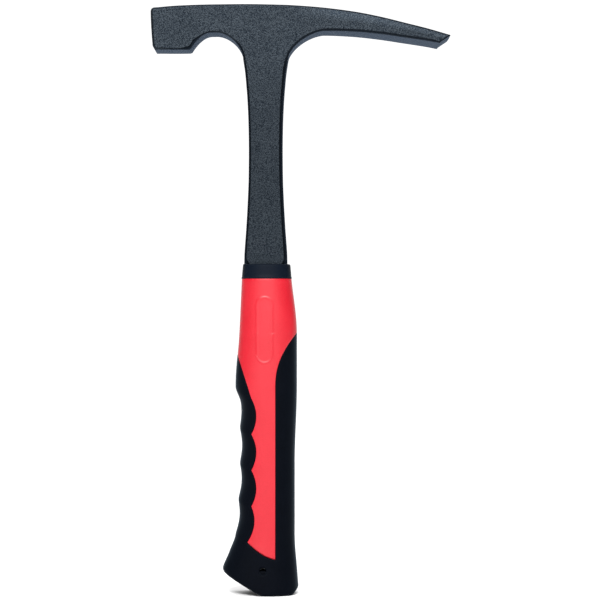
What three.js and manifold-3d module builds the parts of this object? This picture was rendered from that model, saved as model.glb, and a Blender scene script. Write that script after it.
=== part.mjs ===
// A mason's brick hammer: one steel forging (striking poll, chisel claw, shank and tang) with a moulded
// two-material handle and a rubber collar.
// Millimetres. +Z runs up the shank, +X points to the claw and -X to the striking face. Y is the thickness.
// The origin is on the shank's axis, on the flat that the butt of the handle stands on.
import * as THREE from "three";
import { LoftGeometry } from "three/addons/geometries/LoftGeometry.js";
import { mergeVertices } from "three/addons/utils/BufferGeometryUtils.js";
import Module from "manifold-3d";

const wasm = await Module();
wasm.setup();

// ---- Driving dimensions: lengths along the hammer ----
const HANDLE_LENGTH = 176.1; // butt flat to the collar's seat
const COLLAR_HEIGHT = 8.1;
const SHANK_LENGTH = 114; // collar's top to the start of the head's fillets
const HEAD_HEIGHT = 30.4; // start of the fillets to the crown of the head

// ---- Head ----
const POLL_REACH = 64.1; // shank axis to the striking face
const POLL_LENGTH = 22.2;
const POLL_FOOT = 4.9; // poll's underside above the start of the fillets
const HEAD_THICKNESS = 22; // poll and neck, between flat cheeks
const POLL_CORNER = 1.4; // chamfer round the striking face
const FACE_LEAN = 0.9; // the striking face's lower edge stands back from its upper edge
const NECK_FOOT = 14.4; // underside of the neck above the start of the fillets
const NECK_CURVE = 11.6; // length of the curve from the poll up to the neck
const CLAW_REACH = 102.5; // shank axis to the cutting edge
const CLAW_FOOT = 15.2; // underside of the claw at its root above the start of the fillets
const CLAW_ROOT = 34; // shank axis to the claw's root
const CLAW_TIP_HEIGHT = 5.2;
const CLAW_ROOT_THICKNESS = 24.5;
const CLAW_BACK_THICKNESS = 29;
const CLAW_TIP_THICKNESS = 31;
const CLAW_BEVEL_RUN = 5.4; // how far the slanted end face leans back
const CLAW_BEVEL_RISE = 3.9;
const CROWN_X = -11; // where the head is highest, from the shank's axis
const POLL_DROP = 2.4; // fall of the top line from the crown to the striking face
const CLAW_DROP = 18.3; // fall of the top line from the crown to the cutting edge
const CLAW_BROW = 37; // the top line falls slowly as far as the brow, then bends down to the claw's back
const CLAW_BROW_DROP = 2.65;
const CLAW_BACK = 64;
const CLAW_BACK_DROP = 7.5;
const CLAW_END = 90;
const CLAW_END_DROP = 14.4;
const SHANK_ROOT_THICKNESS = 21.6; // a hair slimmer than the head, so that the cheeks meet in a clean line
const FILLET_REACH_POLL = 14.5; // how far the fillet under the neck spreads from the shank
const FILLET_REACH_CLAW = 20;
const FILLET_ROUNDNESS = 1.85; // exponent of the fillets' quarter ovals
const EDGE_BEVEL = 1.2; // chamfer along the forging's edges

// ---- Shank and tang ----
const SHANK_ROOT_HALF = 12.6; // half widths in side view, from the head down to the collar
const SHANK_NECK_HALF = 10.4;
const SHANK_WAIST_HALF = 9.5;
const SHANK_CALF_HALF = 10.4;
const SHANK_FOOT_HALF = 12;
const SHANK_WAIST_DROP = 52; // waist below the start of the head's fillets
const SHANK_FOOT_THICKNESS = 12;
const TANG_TOP_HALF = 9;
const TANG_TIP_HALF = 6;
const TANG_TIP_THICKNESS = 8;
const TANG_TIP_Z = 28;
const TANG_HOLE_RADIUS = 3.5;
const TANG_HOLES_Z = [58, 108]; // keying holes that the moulded core fills

// ---- Handle ----
const FINGER_COUNT = 4;
const FINGER_PITCH = 20;
const FINGER_DEPTH = 1.1;
const FIRST_RIDGE_Z = 33.4;
const TOP_RIDGE_RISE = 2.8; // the top ridge stands this much above the last even pitch
const HANDLE_TOP_FRONT = 13.5; // front and back of the handle in side view, from the shank's axis
const HANDLE_TOP_BACK = 14.4;
const HANDLE_TOP_HALF_THICKNESS = 12;
const SHOULDER_FRONT = 14.9; // above the palm, level with the back strip's top
const PALM_FRONT = 17;
const PALM_BACK = 17.4;
const PALM_HALF_THICKNESS = 13;
const UNDER_PALM_FRONT = 15.1;
const GRASP_FRONT = 14.5;
const GRASP_FRONT_LOW = 15.3;
const GRASP_BACK = 16.2;
const GRASP_HALF_THICKNESS = 12;
const BUTT_FRONT = 24.4;
const BUTT_BACK = 18.6;
const BUTT_BACK_TAPER = 1; // the butt's back stands in by this much at the height of the toe
const BUTT_HALF_THICKNESS = 15;
const BUTT_TOE_Z = 12.6; // height of the butt's foremost point
const BUTT_FLAT_FRONT = 2.4; // the butt's flat, from the shank's axis
const BUTT_FLAT_BACK = 14.8;
const BUTT_HEEL_RISE = 4;
const SECTION_SQUARENESS = 2.5; // exponent of the handle's oval: 2 is an ellipse
const RUBBER_WALL = 2.6;
const BUTT_WALL = 5;
const HANG_HOLE_RADIUS = 2.05;
const HANG_HOLE_X = -1.5;
const HANG_HOLE_Z = 13.8;
const HANG_SLEEVE_WALL = 1.2; // rubber that lines the hanging hole through the core

// ---- Window in the grip ----
const WINDOW_CUSP = 8.3; // window's front edge at a ridge, from the shank's axis
const WINDOW_TOE = 10.6; // window's front lower corner
const WINDOW_BACK = 5.7;
const WINDOW_LOBE = 5.6; // control reach of one scallop of the window's front edge: twice the scallop's depth
const WINDOW_RIDGE_DROP = 3.8; // a ridge runs down by this much from the front of the grip to the window
const WINDOW_HEEL_Z = 20.1; // window's back lower corner
const FRONT_STRIP_TOP_Z = 133.4; // where the front rubber strip runs out
const BACK_STRIP_TOP_Z = 145.8;
const BACK_STRIP_BEND_Z = 116.3; // the back strip's edge is straight up to here, then swings out to its top
const STRIP_SWING = 13; // controls of that swing
const STRIP_RUN = 6;
const STRIP_RISE = 8;
const WINDOW_SOLE_X = 1.4; // where the slopes of the window's lower edge meet, from the shank's axis
const WINDOW_SOLE_RISE = 0.7;

// ---- Fits ----
const CLEARANCE = 0.3; // between any two pieces that meet
const COLLAR_LIP = 0.9; // the collar stands in from the handle's outline by this much at its rim
const COLLAR_TAPER = 0.3; // and by this much under the rim
const COLLAR_FLARE = 0.2; // and stands proud of the core by this much at its seat

// ---- Faceting ----
const OVAL_SIDES = 24;
const FINGER_STEPS = 5;
const PLAIN_STEP = 7;
const HOLE_SIDES = 20;
const CURVE_STEPS = 8;
const POLL_STEPS = 3;
const NECK_STEPS = 8;
const CLAW_STEPS = 12;
const SHANK_STEPS = 16;
const TANG_STEPS = 6;
const WELD = 1e-4; // vertices this close are one vertex
const FAR = 60; // beyond the handle's widest point
const BELOW_BUTT = 2; // the handle's loft starts this much below its flat, to be cut off there

// ---- Heights that follow from the lengths ----
const COLLAR_TOP_Z = HANDLE_LENGTH + COLLAR_HEIGHT;
const HEAD_Z = COLLAR_TOP_Z + SHANK_LENGTH;
const CROWN_Z = HEAD_Z + HEAD_HEIGHT;
const LAST_RIDGE_Z = FIRST_RIDGE_Z + FINGER_COUNT * FINGER_PITCH;
const PALM_Z = LAST_RIDGE_Z + TOP_RIDGE_RISE;

const lerp = THREE.MathUtils.lerp;

// A smooth function through a few keys [t, value], flat where neighbouring keys turn back on themselves.
function smoothThrough(keys) {
  const slopes = keys.map((key, i) => {
    if (i === 0 || i === keys.length - 1) return 0;
    const before = (key[1] - keys[i - 1][1]) / (key[0] - keys[i - 1][0]);
    const after = (keys[i + 1][1] - key[1]) / (keys[i + 1][0] - key[0]);
    return before * after <= 0 ? 0 : (2 * before * after) / (before + after);
  });
  slopes[0] = (keys[1][1] - keys[0][1]) / (keys[1][0] - keys[0][0]);
  const last = keys.length - 1;
  slopes[last] = (keys[last][1] - keys[last - 1][1]) / (keys[last][0] - keys[last - 1][0]);
  return (t) => {
    let i = 0;
    while (i < last - 1 && t > keys[i + 1][0]) i += 1;
    const span = keys[i + 1][0] - keys[i][0];
    const u = (t - keys[i][0]) / span;
    if (u <= 0) return keys[i][1] + slopes[i] * u * span;
    if (u >= 1) return keys[i + 1][1] + slopes[i + 1] * (u - 1) * span;
    const rise = u * u * (3 - 2 * u);
    const leave = u * (1 - u) * (1 - u) * span;
    const arrive = u * u * (u - 1) * span;
    return lerp(keys[i][1], keys[i + 1][1], rise) + slopes[i] * leave + slopes[i + 1] * arrive;
  };
}

// ---- Solids ----

// A closed geometry as a manifold-3d solid, with its shared vertices merged and empty triangles dropped.
function solidOf(geometry) {
  const bare = new THREE.BufferGeometry();
  bare.setAttribute("position", geometry.getAttribute("position"));
  bare.setIndex(geometry.index);
  const merged = mergeVertices(bare, WELD);
  const corners = [];
  for (let i = 0; i < merged.index.count; i += 3) {
    const [a, b, c] = [0, 1, 2].map((k) => merged.index.getX(i + k));
    if (a !== b && b !== c && c !== a) corners.push(a, b, c);
  }
  const vertProperties = new Float32Array(merged.attributes.position.array);
  return new wasm.Manifold(new wasm.Mesh({ numProp: 3, vertProperties, triVerts: new Uint32Array(corners) }));
}

// A manifold-3d solid as a flat-shaded three.js geometry.
function geometryOf(solid) {
  const mesh = solid.getMesh();
  const indexed = new THREE.BufferGeometry();
  const corners = new THREE.BufferAttribute(new Float32Array(mesh.vertProperties), mesh.numProp);
  indexed.setAttribute("position", corners);
  indexed.setIndex(new THREE.BufferAttribute(new Uint32Array(mesh.triVerts), 1));
  const geometry = indexed.toNonIndexed();
  geometry.computeVertexNormals();
  return geometry;
}

// A side-view shape (its x and y are the hammer's X and Z), extruded through the thickness and centred on Y.
function extrudeSideways(shape, thickness) {
  const geometry = new THREE.ExtrudeGeometry(shape, {
    depth: thickness,
    bevelEnabled: false,
    curveSegments: CURVE_STEPS,
  });
  geometry.translate(0, 0, -thickness / 2);
  geometry.rotateX(Math.PI / 2);
  return geometry;
}

// A round bar across the handle, along Y.
function crossBar(x, z, radius) {
  const bar = new THREE.CylinderGeometry(radius, radius, 2 * FAR, HOLE_SIDES);
  bar.translate(x, 0, z);
  return solidOf(bar);
}

// ---- Forging ----

// The head's top line along X, from the striking face over the crown to the cutting edge.
const headTop = smoothThrough([
  [-POLL_REACH, CROWN_Z - POLL_DROP],
  [(CROWN_X - POLL_REACH) / 2, CROWN_Z - POLL_DROP / 4],
  [CROWN_X, CROWN_Z],
  [CLAW_BROW, CROWN_Z - CLAW_BROW_DROP],
  [CLAW_BACK, CROWN_Z - CLAW_BACK_DROP],
  [CLAW_END, CROWN_Z - CLAW_END_DROP],
  [CLAW_REACH, CROWN_Z - CLAW_DROP],
]);

// Half width of the shank in side view.
const shankHalf = smoothThrough([
  [COLLAR_TOP_Z, SHANK_FOOT_HALF],
  [COLLAR_TOP_Z + (SHANK_LENGTH - SHANK_WAIST_DROP) / 2, SHANK_CALF_HALF],
  [HEAD_Z - SHANK_WAIST_DROP, SHANK_WAIST_HALF],
  [HEAD_Z - SHANK_WAIST_DROP / 3, SHANK_NECK_HALF],
  [HEAD_Z, SHANK_ROOT_HALF],
]);

// Half width of the tang, which starts under the shank's shoulders, inside the collar.
function tangHalf(z) {
  const along = (z - TANG_TIP_Z) / (HANDLE_LENGTH - TANG_TIP_Z);
  return lerp(TANG_TIP_HALF, TANG_TOP_HALF, along);
}

// Thickness of the tang and the shank, which grow evenly up to the neck's.
const barThickness = smoothThrough([
  [TANG_TIP_Z, TANG_TIP_THICKNESS],
  [COLLAR_TOP_Z, SHANK_FOOT_THICKNESS],
  [HEAD_Z, SHANK_ROOT_THICKNESS],
]);

// Thickness of the head along X: flat cheeks from the poll to past the shank, then the claw spreads.
const headThickness = smoothThrough([
  [-POLL_REACH, HEAD_THICKNESS],
  [SHANK_ROOT_HALF, HEAD_THICKNESS],
  [CLAW_ROOT, CLAW_ROOT_THICKNESS],
  [CLAW_BACK, CLAW_BACK_THICKNESS],
  [CLAW_REACH, CLAW_TIP_THICKNESS],
]);

// A rectangle with chamfered corners, anticlockwise.
function chamferedSection(left, right, low, high, bevel) {
  return [
    [left + bevel, low],
    [right - bevel, low],
    [right, low + bevel],
    [right, high - bevel],
    [right - bevel, high],
    [left + bevel, high],
    [left, high - bevel],
    [left, low + bevel],
  ];
}

// A quarter superoval from 0 at the foot of a fillet to its full reach where it meets the head.
function filletSpread(z, headFoot, reach) {
  const rise = THREE.MathUtils.clamp((z - HEAD_Z) / headFoot, 0, 1);
  return reach * (1 - (1 - rise ** FILLET_ROUNDNESS) ** (1 / FILLET_ROUNDNESS));
}

// Underside of the head along X: poll, the curve up to the neck, then the claw.
function headUnderside(x) {
  const pollBack = POLL_LENGTH - POLL_REACH;
  if (x <= pollBack) return HEAD_Z + POLL_FOOT;
  if (x <= pollBack + NECK_CURVE) {
    const back = 1 - (x - pollBack) / NECK_CURVE;
    return lerp(HEAD_Z + NECK_FOOT, HEAD_Z + POLL_FOOT, back * back);
  }
  if (x <= CLAW_ROOT) {
    const along = (x - pollBack - NECK_CURVE) / (CLAW_ROOT - pollBack - NECK_CURVE);
    return HEAD_Z + lerp(NECK_FOOT, CLAW_FOOT, along);
  }
  const rootHeight = headTop(CLAW_ROOT) - (HEAD_Z + CLAW_FOOT);
  return headTop(x) - lerp(rootHeight, CLAW_TIP_HEIGHT, (x - CLAW_ROOT) / (CLAW_REACH - CLAW_ROOT));
}

// Evenly spaced values from the first to the last.
function steps(first, last, count) {
  return Array.from({ length: count + 1 }, (_, i) => lerp(first, last, i / count));
}

// Leans the poll back towards its underside: by the full lean at the striking face, by nothing at its back.
function leanBack(point) {
  const toFace = THREE.MathUtils.clamp((POLL_LENGTH - POLL_REACH - point.x) / POLL_LENGTH, 0, 1);
  const down = (HEAD_Z + HEAD_HEIGHT - point.z) / (HEAD_HEIGHT - POLL_FOOT);
  point.x += FACE_LEAN * toFace * down;
}

// The head: chamfered sections from the striking face to past the cutting edge, trimmed by a slanted cut.
function head() {
  const pollBack = POLL_LENGTH - POLL_REACH;
  const stations = [
    ...steps(POLL_CORNER - POLL_REACH, pollBack, POLL_STEPS),
    ...steps(pollBack, pollBack + NECK_CURVE, CURVE_STEPS).slice(1),
    ...steps(pollBack + NECK_CURVE, SHANK_ROOT_HALF, NECK_STEPS / 2).slice(1),
    ...steps(SHANK_ROOT_HALF, CLAW_ROOT, NECK_STEPS / 2).slice(1),
    ...steps(CLAW_ROOT, CLAW_REACH + EDGE_BEVEL, CLAW_STEPS).slice(1),
  ];
  const ringAt = (x, inset) => {
    const half = headThickness(x) / 2 - inset;
    const section = chamferedSection(-half, half, headUnderside(x) + inset, headTop(x) - inset, EDGE_BEVEL);
    return section.map(([across, up]) => new THREE.Vector3(x, across, up));
  };
  const rings = stations.map((x) => ringAt(x, 0));
  const face = ringAt(POLL_CORNER - POLL_REACH, POLL_CORNER);
  face.forEach((point) => point.setX(-POLL_REACH));
  [face, ...rings].flat().forEach(leanBack);
  const blank = solidOf(new LoftGeometry([face, ...rings], { capStart: true, capEnd: true }));
  const edgeZ = headTop(CLAW_REACH);
  const trim = new THREE.Shape();
  trim.moveTo(CLAW_REACH + CLAW_BEVEL_RUN, edgeZ + CLAW_BEVEL_RISE);
  trim.lineTo(CLAW_REACH - 2 * CLAW_BEVEL_RUN, edgeZ - 2 * CLAW_BEVEL_RISE);
  trim.lineTo(CLAW_REACH + CLAW_BEVEL_RUN, edgeZ - 2 * CLAW_BEVEL_RISE);
  return blank.subtract(solidOf(extrudeSideways(trim, 2 * FAR)));
}

// The shank and tang: chamfered sections from the tang's tip up into the head, spreading in the fillets.
function shankAndTang() {
  const top = NECK_FOOT + EDGE_BEVEL;
  const heights = [
    ...steps(TANG_TIP_Z, HANDLE_LENGTH, TANG_STEPS),
    ...steps(COLLAR_TOP_Z, HEAD_Z, SHANK_STEPS),
    ...steps(0, Math.PI / 2, CURVE_STEPS).slice(1).map((turn) => HEAD_Z + NECK_FOOT * Math.sin(turn)),
    HEAD_Z + top,
  ];
  const rings = heights.map((z) => {
    const half = z > HANDLE_LENGTH ? shankHalf(Math.min(z, HEAD_Z)) : tangHalf(z);
    const left = -half - filletSpread(z, NECK_FOOT, FILLET_REACH_POLL);
    const right = half + filletSpread(z, CLAW_FOOT, FILLET_REACH_CLAW);
    const deep = barThickness(Math.min(z, HEAD_Z)) / 2;
    const section = chamferedSection(left, right, -deep, deep, EDGE_BEVEL);
    return section.map(([x, y]) => new THREE.Vector3(x, y, z));
  });
  return solidOf(new LoftGeometry(rings, { capStart: true, capEnd: true }));
}

// The forging: head, shank and tang in one, with keying holes through the tang.
function forging() {
  const whole = head().add(shankAndTang());
  return TANG_HOLES_Z.reduce((solid, z) => solid.subtract(crossBar(0, z, TANG_HOLE_RADIUS)), whole);
}

// The room for the tang and the foot of the shank inside the mouldings, with clearance all round.
function tangRoom() {
  const heights = [TANG_TIP_Z - CLEARANCE, TANG_TIP_Z, HANDLE_LENGTH, COLLAR_TOP_Z, COLLAR_TOP_Z + CLEARANCE];
  const rings = heights.map((z) => {
    const inCollar = z > HANDLE_LENGTH;
    const half = (inCollar ? SHANK_FOOT_HALF : tangHalf(z)) + CLEARANCE;
    const deep = barThickness(Math.max(z, TANG_TIP_Z)) / 2 + CLEARANCE;
    const corners = [[-half, -deep], [half, -deep], [half, deep], [-half, deep]];
    return corners.map(([x, y]) => new THREE.Vector3(x, y, z));
  });
  return solidOf(new LoftGeometry(rings, { capStart: true, capEnd: true }));
}

// ---- Handle ----

// Front of the handle without its finger scallops, as a reach towards -X.
const frontLine = smoothThrough([
  [0, BUTT_FRONT],
  [BUTT_TOE_Z, BUTT_FRONT],
  [(BUTT_TOE_Z + FIRST_RIDGE_Z) / 2, (BUTT_FRONT + PALM_FRONT) / 2],
  [FIRST_RIDGE_Z, PALM_FRONT],
  [FIRST_RIDGE_Z + FINGER_PITCH, GRASP_FRONT_LOW],
  [FIRST_RIDGE_Z + 2 * FINGER_PITCH, GRASP_FRONT],
  [FIRST_RIDGE_Z + 3 * FINGER_PITCH, GRASP_FRONT],
  [LAST_RIDGE_Z - FINGER_PITCH / 3, UNDER_PALM_FRONT],
  [PALM_Z, PALM_FRONT],
  [BACK_STRIP_TOP_Z, SHOULDER_FRONT],
  [HANDLE_LENGTH, HANDLE_TOP_FRONT],
]);

const backLine = smoothThrough([
  [0, BUTT_BACK],
  [BUTT_TOE_Z, BUTT_BACK - BUTT_BACK_TAPER],
  [FIRST_RIDGE_Z, GRASP_BACK],
  [FIRST_RIDGE_Z + 2 * FINGER_PITCH, GRASP_BACK],
  [PALM_Z, PALM_BACK],
  [BACK_STRIP_TOP_Z, PALM_BACK],
  [HANDLE_LENGTH, HANDLE_TOP_BACK],
]);

const sideLine = smoothThrough([
  [0, BUTT_HALF_THICKNESS],
  [FIRST_RIDGE_Z, GRASP_HALF_THICKNESS],
  [FIRST_RIDGE_Z + 2 * FINGER_PITCH, GRASP_HALF_THICKNESS],
  [PALM_Z, PALM_HALF_THICKNESS],
  [HANDLE_LENGTH, HANDLE_TOP_HALF_THICKNESS],
]);

// Depth of the finger scallops at a height: round hollows that meet in crisp ridges.
function scallop(z) {
  if (z < FIRST_RIDGE_Z || z > LAST_RIDGE_Z) return 0;
  return FINGER_DEPTH * Math.abs(Math.sin((Math.PI * (z - FIRST_RIDGE_Z)) / FINGER_PITCH));
}

// An oval ring at height z whose squareness is that of the handle's section.
function ovalRing(front, back, side, z) {
  return Array.from({ length: OVAL_SIDES }, (_, i) => {
    const angle = (2 * Math.PI * i) / OVAL_SIDES;
    const round = (value) => Math.sign(value) * Math.abs(value) ** (2 / SECTION_SQUARENESS);
    const x = (back - front) / 2 + ((back + front) / 2) * round(Math.cos(angle));
    return new THREE.Vector3(x, side * round(Math.sin(angle)), z);
  });
}

// Heights of the handle's sections: close together along the fingers, wider apart elsewhere.
function handleHeights() {
  const heights = [];
  for (let z = -BELOW_BUTT; z < FIRST_RIDGE_Z - PLAIN_STEP / 4; z += PLAIN_STEP / 2) heights.push(z);
  heights.push(...steps(FIRST_RIDGE_Z, LAST_RIDGE_Z, FINGER_COUNT * FINGER_STEPS));
  heights.push(...steps(PALM_Z, HANDLE_LENGTH, Math.ceil((HANDLE_LENGTH - PALM_Z) / PLAIN_STEP)));
  return heights;
}

// The butt's outline in side view, open upwards: sloping sole, flat, and heel, raised by a wall.
function buttShape(wall) {
  const shape = new THREE.Shape();
  const slope = BUTT_TOE_Z / (BUTT_FRONT - BUTT_FLAT_FRONT);
  shape.moveTo(-FAR, wall + slope * (FAR - BUTT_FLAT_FRONT));
  shape.lineTo(-BUTT_FLAT_FRONT, wall);
  shape.lineTo(BUTT_FLAT_BACK, wall);
  shape.lineTo(BUTT_BACK, wall + BUTT_HEEL_RISE);
  shape.lineTo(FAR, wall + BUTT_HEEL_RISE + FAR - BUTT_BACK);
  shape.lineTo(FAR, HANDLE_LENGTH + FAR);
  shape.lineTo(-FAR, HANDLE_LENGTH + FAR);
  return shape;
}

// The handle's outer form, or the same form drawn in by a wall at its sides and raised at its butt.
function handleForm(wall, buttWall) {
  const rings = handleHeights().map((z) =>
    ovalRing(frontLine(z) - scallop(z) - wall, backLine(z) - wall, sideLine(z) - wall, z),
  );
  const loft = solidOf(new LoftGeometry(rings, { capStart: true, capEnd: true }));
  return loft.intersect(solidOf(extrudeSideways(buttShape(buttWall), 2 * FAR)));
}

// The region in side view where the core comes to the surface: the grip's window and all above its strips.
// It spreads by a clearance where the grip is cut back from it.
function windowShape(spread) {
  const shape = new THREE.Shape();
  const back = WINDOW_BACK + spread;
  const toe = WINDOW_TOE + spread;
  const cusp = WINDOW_CUSP + spread;
  const ridge = (i) => FIRST_RIDGE_Z - WINDOW_RIDGE_DROP + i * FINGER_PITCH - spread;
  shape.moveTo(back, WINDOW_HEEL_Z - spread);
  shape.lineTo(back, BACK_STRIP_BEND_Z);
  const stripTop = BACK_STRIP_TOP_Z - spread;
  const swing = BACK_STRIP_BEND_Z + STRIP_SWING;
  shape.bezierCurveTo(back, swing, PALM_BACK - STRIP_RUN, stripTop - STRIP_RISE, PALM_BACK, stripTop);
  shape.lineTo(FAR, BACK_STRIP_TOP_Z + FAR);
  shape.lineTo(FAR, HANDLE_LENGTH + FAR);
  shape.lineTo(-FAR, HANDLE_LENGTH + FAR);
  shape.lineTo(-FAR, FRONT_STRIP_TOP_Z + FAR);
  shape.lineTo(-frontLine(FRONT_STRIP_TOP_Z) - spread, FRONT_STRIP_TOP_Z);
  shape.lineTo(-cusp, ridge(FINGER_COUNT));
  for (let i = FINGER_COUNT - 1; i >= 0; i -= 1) {
    const end = i === 0 ? toe : cusp;
    shape.quadraticCurveTo(WINDOW_LOBE - (cusp + end) / 2, ridge(i) + FINGER_PITCH / 2, -end, ridge(i));
  }
  const soleZ = WINDOW_HEEL_Z - spread;
  shape.quadraticCurveTo(-WINDOW_SOLE_X, soleZ + WINDOW_SOLE_RISE, back, soleZ);
  return shape;
}

// The red core: the handle's form in the window, and that form less the rubber's wall elsewhere.
function handleCore() {
  const shown = handleForm(0, 0).intersect(solidOf(extrudeSideways(windowShape(0), 2 * FAR)));
  const keys = TANG_HOLES_Z.map((z) => crossBar(0, z, TANG_HOLE_RADIUS - CLEARANCE));
  const body = shown.add(handleForm(RUBBER_WALL, BUTT_WALL));
  const keyed = keys.reduce((solid, key) => solid.add(key.intersect(body)), body.subtract(tangRoom()));
  return keyed.subtract(crossBar(HANG_HOLE_X, HANG_HOLE_Z, HANG_HOLE_RADIUS + HANG_SLEEVE_WALL + CLEARANCE));
}

// The rubber grip: what is left of the handle's form outside the core, with clearance, and the sleeve of the
// hanging hole.
function grip() {
  const window = solidOf(extrudeSideways(windowShape(CLEARANCE), 2 * FAR));
  const room = handleForm(RUBBER_WALL - CLEARANCE, BUTT_WALL - CLEARANCE);
  const hole = crossBar(HANG_HOLE_X, HANG_HOLE_Z, HANG_HOLE_RADIUS);
  const form = handleForm(0, 0);
  const sleeve = crossBar(HANG_HOLE_X, HANG_HOLE_Z, HANG_HOLE_RADIUS + HANG_SLEEVE_WALL).intersect(form);
  return form.subtract(window).subtract(room).add(sleeve).subtract(hole);
}

// The collar: an oval ring that seats on the core's top and closes round the shank.
function collar() {
  const seat = HANDLE_LENGTH + CLEARANCE;
  const shoulder = COLLAR_TOP_Z - COLLAR_LIP;
  const levels = [
    [seat, COLLAR_FLARE],
    [shoulder, -COLLAR_TAPER],
    [COLLAR_TOP_Z, -COLLAR_LIP],
  ];
  const rings = levels.map(([z, out]) =>
    ovalRing(HANDLE_TOP_FRONT + out, HANDLE_TOP_BACK + out, HANDLE_TOP_HALF_THICKNESS + out, z),
  );
  return solidOf(new LoftGeometry(rings, { capStart: true, capEnd: true })).subtract(tangRoom());
}

// ---- Materials ----
const steel = new THREE.MeshStandardMaterial({ color: 0x3f464d, roughness: 0.55, metalness: 0.7 });
const redPlastic = new THREE.MeshStandardMaterial({ color: 0xe8323c, roughness: 0.45, metalness: 0 });
const gripRubber = new THREE.MeshStandardMaterial({ color: 0x14181c, roughness: 0.8, metalness: 0 });
const collarRubber = new THREE.MeshStandardMaterial({ color: 0x1c2229, roughness: 0.7, metalness: 0 });

function piece(name, solid, material) {
  const mesh = new THREE.Mesh(geometryOf(solid), material);
  mesh.name = name;
  return mesh;
}

const hammer = new THREE.Group();
hammer.add(
  piece("forged_hammer", forging(), steel),
  piece("collar", collar(), collarRubber),
  piece("handle_core", handleCore(), redPlastic),
  piece("grip", grip(), gripRubber),
);

export default hammer;
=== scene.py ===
"""A mason's brick hammer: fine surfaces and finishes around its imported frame.

Lengths are in millimetres until a mesh is made, when MM turns them into metres. +Z runs up the shank, +X
points to the claw and -X to the striking face, and Y is the thickness. The camera looks along +Y.
"""

from __future__ import annotations

import logging
import math
from dataclasses import dataclass, field
from enum import Enum

import bmesh
import bpy
import numpy as np
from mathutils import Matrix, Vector

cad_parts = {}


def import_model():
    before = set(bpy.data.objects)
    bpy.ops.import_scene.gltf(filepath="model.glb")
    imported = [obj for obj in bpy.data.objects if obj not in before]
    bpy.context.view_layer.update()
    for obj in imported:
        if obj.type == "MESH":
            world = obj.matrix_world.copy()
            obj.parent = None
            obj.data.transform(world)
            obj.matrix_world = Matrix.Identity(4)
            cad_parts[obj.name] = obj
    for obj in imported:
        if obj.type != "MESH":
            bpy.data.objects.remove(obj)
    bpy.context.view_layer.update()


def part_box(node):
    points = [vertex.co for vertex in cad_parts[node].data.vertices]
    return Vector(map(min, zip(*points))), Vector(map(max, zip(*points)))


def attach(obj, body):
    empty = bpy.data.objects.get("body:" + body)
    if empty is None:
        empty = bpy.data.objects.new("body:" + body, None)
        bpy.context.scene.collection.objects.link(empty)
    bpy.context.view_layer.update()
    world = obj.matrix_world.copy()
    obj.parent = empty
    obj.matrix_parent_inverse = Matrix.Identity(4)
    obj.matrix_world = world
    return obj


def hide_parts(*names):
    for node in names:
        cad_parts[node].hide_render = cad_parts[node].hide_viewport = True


MM = 0.001
CM3 = 1e6
BODY = "root"
WELD_MM = 0.0005
SEAT_GAP_MM = 0.08
QUARTER = math.pi / 2
FAR_MM = 99.0
TINY = 1e-6
MIDDLE = 1.5
LOG = logging.getLogger("brick_hammer")
Socket = bpy.types.NodeSocket
Array = np.ndarray


# ---- Shared geometry ----


@dataclass(frozen=True)
class SmoothCurve:
    """A smooth function through a few keys, flat where neighbouring keys turn back on themselves.

    Between two keys it is a cubic. The slope at a key is the harmonic mean of the chords on either side of
    it, and the end slopes are the end chords, which also carry the function on past its ends.
    """

    keys: tuple[tuple[float, float], ...]

    def __call__(self, t: Array | float) -> Array:
        """Evaluates the curve.

        Args:
            t: Where to evaluate it.

        Returns:
            The values, in the shape of t.
        """
        t = np.asarray(t, float)
        at, value = np.array(self.keys, float).T
        chord = np.diff(value) / np.diff(at)
        before, after = chord[:-1], chord[1:]
        turns = before * after <= 0
        mean = 2 * before * after / np.where(turns, 1.0, before + after)
        slope = np.concatenate([chord[:1], np.where(turns, 0.0, mean), chord[-1:]])
        i = np.clip(np.searchsorted(at, t, side="right") - 1, 0, len(at) - 2)
        span = at[i + 1] - at[i]
        u = np.clip((t - at[i]) / span, 0, 1)
        inside = value[i] + (value[i + 1] - value[i]) * u * u * (3 - 2 * u)
        inside += slope[i] * u * (1 - u) ** 2 * span + slope[i + 1] * u * u * (u - 1) * span
        return inside + slope[0] * np.minimum(t - at[0], 0) + slope[-1] * np.maximum(t - at[-1], 0)


def mix(a: Array | float, b: Array | float, t: Array | float) -> Array:
    """Straight-line mix of a and b: a at t 0 and b at t 1."""
    return a + (b - a) * t


def ease(t: Array) -> Array:
    """Smooth step from 0 to 1 with flat ends, held at 0 and 1 outside."""
    t = np.clip(t, 0, 1)
    return t * t * (3 - 2 * t)


def soft_max(a: Array, b: Array, reach: float) -> Array:
    """The larger of a and b, with the corner where they cross rounded over the reach."""
    return np.maximum(a, b) + np.maximum(reach - np.abs(a - b), 0) ** 2 / (4 * reach)


def superoval(angle: Array, reach: Array | float, half: Array | float, power: float) -> Array:
    """Radius of a superoval in a direction.

    The radius is the sum of (cosine over the reach) and (sine over the half width), each to the given
    power, taken to the power of minus one over it.

    Args:
        angle: Directions, in radians.
        reach: Radius at angle 0.
        half: Radius at a quarter turn.
        power: 2 for an ellipse, and more for a squarer shape.

    Returns:
        The radius in each direction.
    """
    return (np.abs(np.cos(angle) / reach) ** power + np.abs(np.sin(angle) / half) ** power) ** (-1 / power)


def round_depth(distance: Array | float, radius: float) -> Array:
    """Depth of a quarter-round edge of a radius at a distance from the edge."""
    return radius - np.sqrt(radius**2 - (radius - np.clip(distance, 0, radius)) ** 2)


def spread(first: float, last: float, pitch: float) -> Array:
    """Evenly spaced values from first to last, about a pitch apart."""
    return np.linspace(first, last, max(2, round(abs(last - first) / pitch) + 1))


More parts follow.
